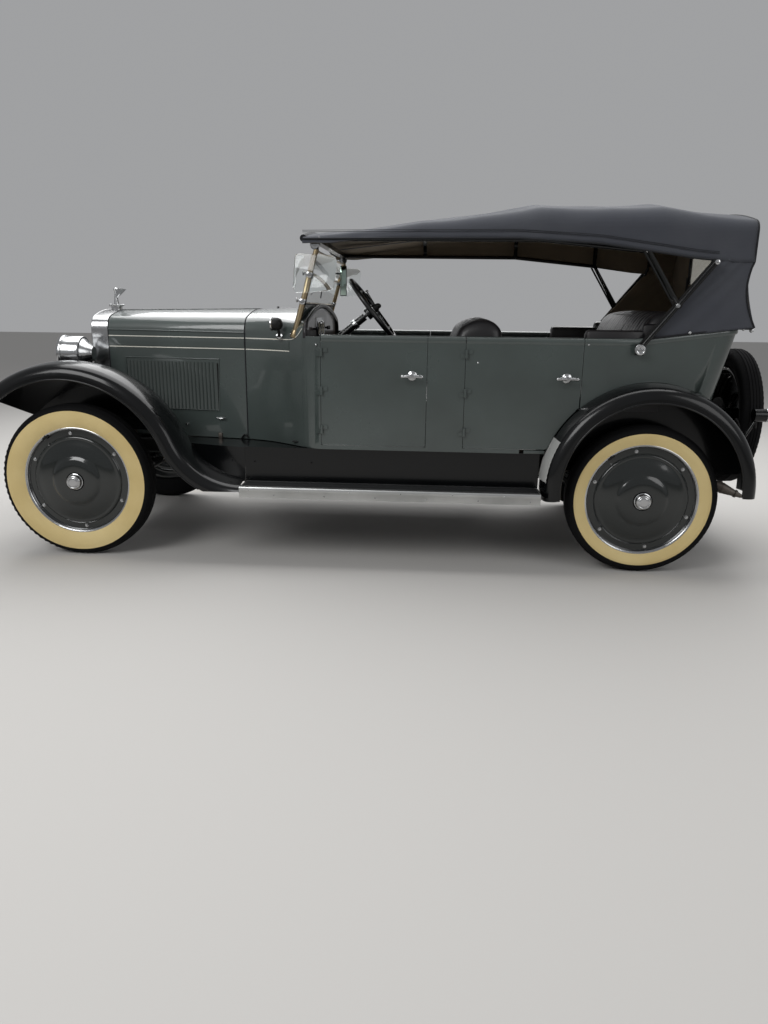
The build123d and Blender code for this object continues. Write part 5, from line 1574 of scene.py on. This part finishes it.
@dataclass
class Cockpit:
    """Board, wheel's centre, levers, pedals, mats and inner panels.

    Attributes:
        wheel: Middle of the steering wheel.
        rake: The column's angle, in degrees.
        spoke_rake: The angle of the wheel's plane that the hand levers follow, in radians.
        board_x: Station of the instrument board's face.
        gauge_z: Height of the gauges.
        gauges: Each gauge's place across the car, its radius and its pointer's turn.
        pedal_tilt: The pedals' tilt, in radians.
    """

    wheel: Point = (1640, -350, 1387)
    rake: float = 38.6
    spoke_rake: float = 0.674
    board_x: float = 1290
    gauge_z: float = 1275
    gauges: tuple = ((-170, 44, 0.6), (-85, 36, -0.4), (0, 44, 1.2))
    pedal_tilt: float = -0.62

    def board(self) -> None:
        """Gauges in a plate on the instrument board, with knobs beside it."""
        shape = Shape(NICKEL)
        x, z = self.board_x, self.gauge_z
        shape.box((x, -230, 1212), (x + 4, 60, 1338), 1.5)
        for y, r, _ in self.gauges:
            bezel = [(0, r), (7, r), (9, r - 3), (8, r - 7), (4, r - 7)]
            shape.turned(bezel, (x + 3, y, z), REARWARDS, 40)
        shape.wear(DIAL)
        for y, r, _ in self.gauges:
            shape.turned([(3, r - 6), (4, r - 6), (4, 0)], (x + 3, y, z), REARWARDS, 32)
        shape.wear(CHASSIS)
        for y, _, turn in self.gauges:
            pin = (x + 8.5, y, z)
            shape.rod(pin, (x + 8.5, y + 26 * math.sin(turn), z + 26 * math.cos(turn)), 1.6, 0.6, 8)
            shape.ball(pin, 3.4, sides=8)
        for y in (-330, -290, 110, 150, 190):
            shape.rods(((x, y, z), (x + 18, y, z), 5), ((x + 16, y, z), (x + 26, y, z), 12, 11, 18, 2))
        shape.done("instruments", CAR, "panel_wood")

    def axis(self) -> Vector:
        """Direction of the steering column, upwards."""
        return Vector((math.cos(math.radians(self.rake)), 0, math.sin(math.radians(self.rake))))

    def on_column(self, along: float, side: Sequence[float] = (0, 0, 0), reach: float = 0) -> Point:
        """A point on or beside the steering column's axis.

        Args:
            along: How far up from the wheel's plane.
            side: A direction away from the axis.
            reach: How far that way.

        Returns:
            The point.
        """
        return tuple(Vector(self.wheel) + self.axis() * along + Vector(side) * reach)

    def wheel_centre(self) -> None:
        """Quadrant, levers and horn button on the column, and its clamps."""
        shape = Shape(CHASSIS)
        spot = self.on_column
        shape.rod(spot(4), spot(30), 24, 20, 24, 3)
        shape.ball(spot(34), 19, (1, 1, 0.8), 18)
        shape.wear(NICKEL)
        shape.rod(spot(-2), spot(6), 33, 33, 28, 2)
        for turn in (0.5, -0.7):
            rise = math.cos(turn)
            side = (-math.sin(self.spoke_rake) * rise, math.sin(turn), math.cos(self.spoke_rake) * rise)
            shape.rod(spot(22), spot(30, side, 120), 3.5, 3)
            shape.ball(spot(30, side, 120), 9, sides=12)
        shape.rods((spot(-150), spot(-118), 28, 28, 24, 3), (spot(-345), spot(-318), 30, 30, 24, 3))
        shape.done("steering_centre", CAR, "nickel")

    def wheel_grips(self) -> None:
        """Hub plate and spoke roots on the turning wheel."""
        spot = self.on_column
        shape = Shape(ALUMINIUM)
        shape.rod(spot(-12), spot(-3), 46, 40, 28, 2)
        across = Vector((0, 1, 0))
        up = self.axis().cross(across)
        for degrees in (45, 135, 225, 315):
            turn = math.radians(degrees)
            side = across * math.cos(turn) + up * math.sin(turn)
            shape.rod(spot(-4, side, 60), spot(-4, side, 186), 5, 4, 10)
            shape.ball(spot(-3, side, 188), 12, (1, 1, 1), 12)
        shape.done("steering_hub_plate", "steering_wheel_body", "column_black")

    def levers(self) -> None:
        """Gear and brake levers in their gaiters, and three pedals on the toe board."""
        shape = Shape(CHASSIS)
        shape.turned([(0, 70), (8, 68), (16, 46), (40, 26), (44, 0)], (1440, 0, FLOOR_Z + 6), UP, 32)
        shape.pipe([(1440, 0, 690), (1446, 0, 800), (1482, 0, 920), (1540, 0, 1016)], 8)
        shape.ball((1544, 0, 1026), 22, (1, 1, 1.1), 20)
        shape.box((1400, 78, FLOOR_Z + 6), (1470, 104, 700), 4)
        shape.pipe([(1434, 90, 690), (1424, 90, 800), (1436, 90, 920), (1462, 90, 1030)], 7)
        shape.rod((1456, 90, 1010), (1474, 90, 1086), 12, 11, 16, 3)
        shape.wear(NICKEL)
        shape.rod((1428, 76, 900), (1452, 76, 1004), 3)
        shape.wear(MAT)
        for y in (-440, -262):
            shape.box((1178, y - 34, 806), (1196, y + 34, 884), 5, self.pedal_tilt)
            for z in (818, 834, 850, 866):
                shape.box((1190, y - 28, z), (1199, y + 28, z + 6), 1, self.pedal_tilt)
        shape.box((1168, -210, 770), (1182, -166, 880), 4, self.pedal_tilt)
        shape.wear(CHASSIS)
        for y in (-440, -262, -188):
            shape.rod((1186, y, 838), (1080, y, 742), 8)
        shape.done("levers_pedals", CAR, "black_frame")

    @staticmethod
    def mats() -> None:
        """Ribbed front mat, rear carpets, foot rail and sill strips."""
        shape = Shape(MAT)
        low = FLOOR_Z
        shape.box((1210, -640, low + 0.5), (1650, 640, low + 6), 2)
        for y in spread(-624, 624, 39):
            shape.box((1230, y - 5, low + 5), (1640, y + 5, low + 8), 1)
        shape.wear(CARPET)
        shape.box((2284, -640, low + 0.5), (2552, 640, low + 9), 3)
        shape.box((2566, -580, low + 16.5), (2640, 580, low + 25), 3)
        shape.wear(NICKEL)
        shape.rod((2440, -470, low + 66), (2440, 470, low + 66), 13)
        for y in (-420, 420):
            shape.box((2426, y - 8, low + 6), (2454, y + 8, low + 62), 4)
        shape.wear(ALUMINIUM)
        for y in (-722, 684):
            for first, last in ((1400, 1952), (2172, 2560)):
                shape.box((first, y, 661.5), (last, y + 38, 664), 0.8)
        shape.done("mats", CAR, "floor_wood")

    @staticmethod
    def panels() -> None:
        """Hide panels inside the quarters and pillars and behind the front seat, with a robe rail."""
        shape = Shape(HIDE)
        shape.moulding([(x, y + 49, z) for x, y, z in body_line(2785, lambda x: 960)[:12]],
                       [(-4, -90), (2, -90), (2, 262), (-4, 262)])
        shape.box((1966, -682, 690), (2158, -672, 1216), 3)
        shape.both()
        shape.box((2262, -560, 720), (2276, 560, 1010), 3)
        shape.box((2276, -420, 760), (2284, 420, 960), 5)
        shape.wear(BINDING)
        rail = ((2362, -430, 1180), (2380, -300, 1150), (2384, 0, 1138), (2380, 300, 1150), (2362, 430, 1180))
        shape.pipe(rail, 8)
        shape.wear(NICKEL)
        for y in (-430, 430):
            shape.ball((2362, y, 1180), 16, sides=14)
        shape.done("cabin_panels", CAR, "leather")

    def build(self) -> None:
        """The whole cockpit."""
        self.board()
        self.wheel_centre()
        self.wheel_grips()
        self.levers()
        self.mats()
        self.panels()


@dataclass
class Lamps:
    """Headlamps with rims and lenses, cowl lamps and tail lamp."""

    head_at: Point = (0, -420, 1122)
    post_x: float = -90
    bar_z: float = 990
    cowl_at: Point = (1135, -592, 1304)
    tail_at: Point = (3850, -470, 842)

    def head(self) -> None:
        """Both headlamps, their posts and the cross bar."""
        x, (y, z), bar = self.post_x, self.head_at[1:], self.bar_z
        shell = [(-150, 98), (-56, 97), (-49, 94), (-48, 84), (-40, 78), (-28, 66), (-14, 52), (2, 43),
                 (8, 38), (10, 0)]
        rim = [(-149, 98), (-151, 102), (-158, 104), (-168, 103), (-175, 98), (-176, 92), (-172, 89)]
        bowl = [(-172, 88), (-156, 80), (-132, 62), (-114, 36), (-108, 12), (-107, 0)]
        shape = Shape(NICKEL)
        for profile, steps in ((shell, 64), (rim, 64), (bowl, 48)):
            shape.turned(profile, self.head_at, REARWARDS, steps)
        shape.ball((-140, y, z), 12, (1.3, 1, 1), 14)
        shape.wear(GLASS)
        shape.turned([(-171, 90), (-176, 80), (-181, 50), (-183, 0)], self.head_at, REARWARDS, 48)
        shape.wear(CHASSIS)
        shape.rods(
            ((x, y, z - 90), (x, y, bar), 17, 15, 20), ((x, y, z - 84), (x, y, z - 104), 30, 20, 24, 3),
            ((x, y, 1012), (x, y, 968), 25, 25, 20, 4), ((x, -512, bar), (x, 0, bar), 15, 15, 20),
            ((x, -500, bar), (x, -516, bar), 26, 22, 20, 2),
        )
        shape.both()
        shape.done("headlamps_dressed", CAR, "nickel", "headlamps")

    def cowl(self) -> None:
        """Small lamps on the cowl with nickel rims."""
        shape = Shape(CHASSIS)
        x, y, z = self.cowl_at
        shell = [(-30, 33), (-18, 36), (2, 35), (16, 28), (25, 15), (28, 0)]
        shape.turned(shell, self.cowl_at, REARWARDS, 40)
        shape.rod((x + 2, y + 4, z - 28), (x + 2, y + 26, z - 66), 7, 9, 16)
        shape.wear(NICKEL)
        shape.turned([(-27, 34), (-31, 39), (-37, 38), (-40, 33), (-37, 30)], self.cowl_at, REARWARDS, 44)
        shape.rod((x + 2, y + 22, z - 60), (x + 2, y + 30, z - 72), 19, 21, 20, 2)
        shape.wear(GLASS)
        shape.turned([(-36, 31), (-41, 22), (-44, 0)], self.cowl_at, REARWARDS, 32)
        shape.both()
        shape.done("cowl_lamps_dressed", CAR, "nickel", "cowl_lamps")

    def tail(self) -> None:
        """Tail lamp's ruby lens, rim and stalk."""
        shape = Shape(NICKEL)
        shape.turned([(-4, 37), (4, 38), (7, 36), (6, 31), (2, 30)], self.tail_at, REARWARDS, 36)
        shape.wear(RED_GLASS)
        shape.turned([(2, 31), (8, 24), (11, 0)], self.tail_at, REARWARDS, 28)
        shape.wear(CHASSIS)
        shape.rod((3798, -470, 770), (3792, -470, 842), 8)
        shape.done("tail_lamp_lens", CAR, "fender_paint")

    def build(self) -> None:
        """All lamps."""
        self.head()
        self.cowl()
        self.tail()


@dataclass
class Radiator:
    """Cellular core, inner bead, cap rings and the crank's eye."""

    cell: float = 16
    core_top: float = 1332
    core_crown: float = 758

    def build(self) -> None:
        """Every piece."""
        shape = Shape(NICKEL)
        for sizes in ((252, 606, self.core_top, self.core_crown, 40), (292, 566, 1370, 800, 80)):
            shape.pipe([(-52, y, z) for y, z in arch_line(*sizes)], 5)
        shape.rod((-52, -252, 606), (-52, 252, 606), 5)
        shape.turned([(-2, 44), (3, 45), (8, 45), (10, 42)], (-12, 0, 1392), UP, 36)
        for turn in spread(0, math.tau, 6)[:-1]:
            shape.ball((-12 + 42 * math.cos(turn), 42 * math.sin(turn), 1397), 7, (1, 1, 1.2), 10)
        shape.turned([(0, 26), (8, 26), (10, 22), (10, 15), (0, 14)], (-401, 0, 562), AHEAD, 32)
        shape.wear(CORE)
        for k in range(31):
            y = -248 + k * self.cell
            top = crown_z(self.core_top, self.core_crown, y) - (14 if abs(y) > 215 else 4)
            shape.box((-36, y - 1.2, 612), (-33, y + 1.2, top))
        for k in range(44):
            z = 618 + k * self.cell
            shape.box((-36, -248, z - 1.2), (-33, 248, z + 1.2))
        shape.done("radiator_dress", CAR, "nickel")


@dataclass
class Fenders:
    """Rolled edges, the stone guard and the stay bolts.

    Attributes:
        crown: Radius of the fenders' crown, across the car.
        middle: Where the crown is highest.
        shoulder: Where the crown runs into the outer shoulder.
        shoulder_r: Radius of that shoulder.
        front_r: Radius of the front fenders over their crown.
        rear_r: The same of the rear fenders.
        front_start: First angle of the front fenders.
        front_end: Where they run into the sweep down to the board.
        front_edge_r: Radius of the front fenders' rolled edge about the arch.
        rear_edge_r: The same of the rear fenders.
        sweep_at: Centre of the sweep down to the board.
        sweep_r: Radius of its edge.
        board_z: Height of the board, where the sweep ends.
        guard: First angle and length of the stone guard, in degrees.
        bead: Radius of the rolled edge's own section.
    """

    crown: float = 400
    middle: float = -725
    shoulder: float = -812
    shoulder_r: float = 60
    front_r: float = 667
    rear_r: float = 562
    front_start: float = -50
    front_end: float = 67.3
    front_edge_r: float = 575
    rear_edge_r: float = 470
    sweep_at: Pair = (955.5, 831.8)
    sweep_r: float = 460.8
    board_z: float = 421
    guard: Pair = (-86, 24)
    bead: float = 5.5

    def reach(self, top: float, y: float) -> float:
        """How far a fender's skin is from its arch's centre.

        Args:
            top: Radius over its crown.
            y: Where it is across the car.

        Returns:
            The distance.
        """
        if y > self.shoulder:
            return crown_z(top, self.crown, y - self.middle)
        inner = self.crown - self.shoulder_r
        drop = math.sqrt(self.shoulder_r ** 2 - (y - self.shoulder) ** 2)
        return top - self.crown + math.sqrt(inner ** 2 - (self.shoulder - self.middle) ** 2) + drop

    def guard_point(self, u: float, v: float) -> Vector:
        """A point of the stone guard, ribbed along the car.

        Args:
            u: Share of its width.
            v: Share of its length.

        Returns:
            The point in the frame.
        """
        y = -843 + 205 * u
        radius = self.reach(self.rear_r, y) + 1.8 + 1.6 * (round(v * 16) % 2)
        return at(*spoke(REAR_ARCH, radius, self.guard[0] + self.guard[1] * v, y))

    def build(self) -> None:
        """Every piece."""
        shape = Shape(ENAMEL)
        turns = spread(self.front_start, self.front_end, 60)
        edge = [spoke(FRONT_ARCH, self.front_edge_r, turn, FENDER_EDGE_Y) for turn in turns]
        for k in range(1, 17):
            spot = spoke(self.sweep_at, -self.sweep_r, self.front_end - k * 3.2, FENDER_EDGE_Y)
            if spot[2] > self.board_z:
                edge.append(spot)
        shape.pipe(edge, self.bead)
        rear = [spoke(REAR_ARCH, self.rear_edge_r, turn, FENDER_EDGE_Y) for turn in spread(-96, 91, 70)]
        shape.pipe(rear, self.bead)
        nose = [spoke(FRONT_ARCH, self.reach(self.front_r, y), turns[0], y) for y in spread(-604, -868, 14)]
        shape.pipe(nose + edge[:1], self.bead)
        # The ribbed stone guard: aluminium whose pale grey tone is a painted reflection
        shape.wear(ALUMINIUM_PAINTED_REFLECTION)
        shape.skin(40, 16, self.guard_point)
        shape.wear(NICKEL)
        for y, lift in ((-836, -3), (-760, 1), (-690, 1), (-634, 1)):
            out = crown_z(self.rear_r, self.crown, y - self.middle) + lift
            for turn in (-86, -68):
                shape.stud(spoke(REAR_ARCH, out, turn, y), spoke((0, 0), 1, turn, 0), 5)
        shape.both()
        shape.done("fender_edges", CAR, "fender_paint", outwards=False)


@dataclass
class Boards:
    """Ribbed mats, bright edging and its screws on the running boards."""

    start: float = 958
    end: float = 2582
    top: float = 441

    def build(self) -> None:
        """Every piece."""
        first, last, top = self.start, self.end, self.top
        shape = Shape(MAT)
        shape.box((first + 6, -846, top), (last - 6, -712, top + 4), 1.5)
        for k in range(9):
            y = -836 + k * 14.2
            shape.box((first + 14, y - 3.4, top + 3), (last - 14, y + 3.4, top + 6.5), 1)
        shape.wear(ALUMINIUM)
        section = [(0, -52), (4, -52), (5, -48), (5, -20), (8, -16), (8, 3), (5, 7), (0, 8), (-24, 8),
                   (-26, 5), (-24, 1), (0, 0)]
        shape.moulding([(x, -868, top) for x in (first, 1500, 2000, last)], section)
        shape.moulding([(x, -706, top) for x in (first + 6, last - 2)], [(0, 0), (0, 6), (10, 6), (10, 0)])
        for x in (first + 3, last - 3):
            shape.box((x - 4, -866, top - 1), (x + 4, -706, top + 7), 2)
        shape.wear(NICKEL)
        for k in range(12):
            shape.stud((1010 + k * 138, -875, 431 - 26 * (k % 2)), LEFT, 4.5)
        shape.wear(CHASSIS)
        for x in (1150, 1780, 2420):
            for y in (-740, -820):
                shape.stud((x, y, 400), (0, 0, -1), 9)
        shape.both()
        shape.done("board_dress", CAR, "board_mat")


@dataclass
class Chassis:
    """Spring clips, shackles, dampers, brake rods and the tail pipe."""

    # Axle's station, height of the spring's pad and half length of each pair of springs
    springs: tuple = ((0, 425, 450), (WHEELBASE, 456, 460))
    spring_y: Pair = (-406, -358)
    pipe_y: float = -250

    def clips(self) -> None:
        """U-bolts over each spring and rebound clips along it."""
        shape = Shape(CHASSIS)
        near, far = self.spring_y
        for middle, pad, reach in self.springs:
            for x in (middle - 34, middle + 34):
                for y in self.spring_y:
                    shape.rod((x, y, pad - 66), (x, y, pad + 58), 6)
                    shape.rod((x, y, pad - 66), (x, y, pad - 54), 11, 11, 6, 1)
                shape.rod((x, near - 4, pad + 56), (x, far + 4, pad + 56), 7)
            shape.box((middle - 48, near, pad + 45), (middle + 48, far, pad + 52), 3)
            low = pad + 60 * (230 / reach) ** 2
            for x in (middle - 230, middle + 230):
                shape.box((x - 11, near + 1, low - 2), (x + 11, far - 1, low + 50), 3)
            z = pad + 100
            for x in (middle - reach + 12, middle + reach - 12):
                shape.rod((x, -412, z), (x, -352, z), 13, 13, 16, 2)
                for y in (-409, -355):
                    shape.box((x - 13, y - 4, z - 4), (x + 13, y + 4, z + 34), 4)
        damper = [(-18, 48), (-14, 52), (14, 52), (18, 48), (20, 20), (24, 0)]
        shape.turned(damper, (-210, -424, 590), LEFT, 32)
        shape.box((-214, -452, 440), (-196, -444, 592), 3)
        shape.rod((-206, -448, 446), (-40, -448, 420), 8)
        shape.both()
        shape.done("spring_clips", CAR, "black_frame")

    def rods(self) -> None:
        """Brake rods with their cross shaft, muffler bands and the tail pipe's cone."""
        shape = Shape(CHASSIS)
        for y in (-330, 330):
            shape.rod((1240, y, 540), (3060, y, 470), 5)
            shape.rod((1240, y - 10, 540), (1240, y + 10, 540), 14, 14, 14)
        shape.rod((1240, -396, 540), (1240, 396, 540), 11)
        shape.wear(STEEL)
        for x in (1506, 1790, 2070):
            shape.rod((x, self.pipe_y, 455), (x + 12, self.pipe_y, 455), 75, 75, 36, 2)
        shape.rods(
            ((3700, self.pipe_y, 393), (3744, -258, 376), 28, 33, 24),
            ((3738, -257, 378), (3850, -276, 334), 34, 12, 24),
            ((3846, -275, 335), (3900, -282, 326), 11, 10, 16),
            ((3812, -270, 349), (3824, -272, 344), 25, 23, 20, 2),
        )
        shape.done("brake_rods", CAR, "pipe_steel")

    @staticmethod
    def spare() -> None:
        """Nuts that hold the spare, and the stays behind the body."""
        shape = Shape(NICKEL)
        for turn in (math.radians(degrees) for degrees in (90, 210, 330)):
            y, z = 30 * math.sin(turn), SPARE[2] + 30 * math.cos(turn)
            shape.rod((3880, y, z), (3892, y, z), 9, 8, 6, 1)
        shape.wear(CHASSIS)
        for hand in (-1, 1):
            stay = ((3700, 300, 612), (3752, 360, 690), (3760, 380, 767), (3742, 330, 800))
            shape.pipe([(x, hand * y, z) for x, y, z in stay], 10)
        shape.done("spare_clamp", CAR, "black_frame")

    def build(self) -> None:
        """All of the chassis dress."""
        self.clips()
        self.rods()
        self.spare()


@dataclass
class Studio:
    """Pale floor, soft lights and the camera at the photograph's angle."""

    eye: Point = (2009.3, -4810.2, 1372.1)
    yaw: float = 0.0658
    pitch: float = 0.2582
    roll: float = 0.0119
    focal: float = 755.29
    long_side: float = 1024
    sensor: float = 36
    floor: str = "#b4b2af"
    sky: str = "#e0e1e3"
    sky_strength: float = 0.47
    # Name, place, aim, size and power of each lamp, in metres and watts
    lamps: tuple = (
        ("key", (-3.5, -5.5, 5.0), (0, 0, 0.9), 3.5, 240),
        ("fill", (5.0, -4.0, 3.2), (0.5, 0, 0.8), 3.0, 55),
        ("overhead", (0, 2.4, 5.0), (0, 0.6, 0), 8.0, 640),
    )

    @staticmethod
    def show(name: str, data: bpy.types.ID) -> bpy.types.Object:
        """Puts an object into the scene.

        Args:
            name: Its name.
            data: Its mesh, lamp or camera.

        Returns:
            The object.
        """
        made = bpy.data.objects.new(name, data)
        bpy.context.scene.collection.objects.link(made)
        return made

    def camera(self) -> None:
        """The camera, from its place and angles."""
        level = Vector((math.cos(self.yaw), math.sin(self.yaw), 0))
        ahead = Vector((-math.sin(self.yaw) * math.cos(self.pitch), math.cos(self.yaw) * math.cos(self.pitch),
                        -math.sin(self.pitch)))
        up = level.cross(ahead)
        right = level * math.cos(self.roll) + up * math.sin(self.roll)
        tilted = up * math.cos(self.roll) - level * math.sin(self.roll)
        data = bpy.data.cameras.new("camera")
        data.sensor_width = self.sensor
        data.lens = self.focal / self.long_side * self.sensor
        made = self.show("camera", data)
        turn = Matrix((right, tilted, -ahead)).transposed().to_4x4()
        made.matrix_world = Matrix.Translation(at(*self.eye)) @ turn
        bpy.context.scene.camera = made

    def light(self, name: str, place: Point, aim: Point, size: float, power: float) -> None:
        """One soft square lamp.

        Args:
            name: Its name.
            place: Where it is.
            aim: What it points at.
            size: Its side.
            power: Its power.
        """
        data = bpy.data.lights.new(name, "AREA")
        data.shape = "SQUARE"
        data.size = size
        data.energy = power
        made = self.show(name, data)
        made.location = Vector(place)
        made.rotation_euler = (Vector(aim) - Vector(place)).to_track_quat("-Z", "Y").to_euler()

    def ground(self) -> None:
        """The floor in its matt paint."""
        mesh = bmesh.new()
        bmesh.ops.create_grid(mesh, x_segments=1, y_segments=1, size=40)
        data = bpy.data.meshes.new("studio_floor")
        mesh.to_mesh(data)
        mesh.free()
        made = bpy.data.materials.new("studio_floor")
        made.use_nodes = True
        shader = made.node_tree.nodes["Principled BSDF"]
        shader.inputs["Base Color"].default_value = linear(self.floor)
        shader.inputs["Roughness"].default_value = 0.8
        data.materials.append(made)
        self.show("studio_floor", data)

    def build(self) -> None:
        """Floor, backdrop colour, lamps and camera."""
        self.ground()
        world = bpy.data.worlds.new("studio")
        world.use_nodes = True
        bpy.context.scene.world = world
        backdrop = world.node_tree.nodes["Background"].inputs
        backdrop["Color"].default_value = linear(self.sky)
        backdrop["Strength"].default_value = self.sky_strength
        for lamp in self.lamps:
            self.light(*lamp)
        bpy.context.scene.view_settings.view_transform = "Standard"
        self.camera()


def smooth_copy(name: str) -> None:
    """Shows a body panel's CAD skin through a copy of its own mesh with merged corners and smooth shading.

    Args:
        name: The CAD node.
    """
    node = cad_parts[name]
    shape = Shape(COACH)
    mesh = shape.mesh
    mesh.from_mesh(node.data)
    bmesh.ops.transform(mesh, matrix=node.matrix_world, verts=mesh.verts)
    shape.worn = mesh.faces.layers.int.get("worn") or mesh.faces.layers.int.new("worn")
    for face in mesh.faces:
        face.material_index = 0
    bmesh.ops.dissolve_limit(mesh, angle_limit=math.radians(0.05), verts=mesh.verts, edges=mesh.edges)
    shape.done(f"{name}_skin", CAR, "body_paint", name, angle=42, merge=0.02)


def dress_cad() -> None:
    """Gives every CAD node its finish."""
    worn = {name: finish for finish, names in WORN.items() for name in names}
    for name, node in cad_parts.items():
        finish = worn.get(name, WHEEL if name.startswith("wheel") else TREAD)
        node.data.materials.clear()
        node.data.materials.append(material(finish))


def wheels() -> None:
    """The four road wheels and the spare."""
    for end, x, sizes, turn in (("front", 0, FRONT_TYRE, 5), ("rear", WHEELBASE, REAR_TYRE, 10)):
        for hand, side in (("left", -1), ("right", 1)):
            centre = (x, side * TRACK_HALF, sizes[0])
            RoadWheel(f"{end}_{hand}", f"{end}_{hand}_wheel", centre, (0, side, 0), *sizes,
                      drum=end == "rear", turn=turn).build()
    RoadWheel("spare", CAR, SPARE, REARWARDS, *REAR_TYRE, cap=False).build()


def seats() -> None:
    """Both benches."""
    Seat("front_seat", front=1660, back=2090, half=636, cushion_z=930, base_z=660, top_z=1349, lean=70,
         shoulder_half=636, shoulder_z=3000).build()
    Seat("rear_seat", front=2640, back=3060, half=566, cushion_z=960, base_z=676, top_z=1400, lean=90,
         shoulder_half=612, shoulder_z=1060, arms=True).build()


def doors() -> None:
    """What the four doors wear."""
    for end, span in (("front", FRONT_DOOR), ("rear", REAR_DOOR)):
        for side in ("left", "right"):
            DoorTrim(end, side, span).build()


def main() -> None:
    """Builds the dressed car in order and logs each piece."""
    logging.basicConfig(level=logging.INFO, format="%(name)s %(message)s")
    dress_cad()
    smooth_copy("cowl")
    smooth_copy("body_rear")
    wheels()
    SoftTop().build()
    seats()
    BodyTrim().build()
    doors()
    for group in (Windscreen(), Cockpit(), Lamps(), Radiator(), Fenders(), Boards(), Chassis(), Studio()):
        group.build()


if __name__ == "__main__":
    main()
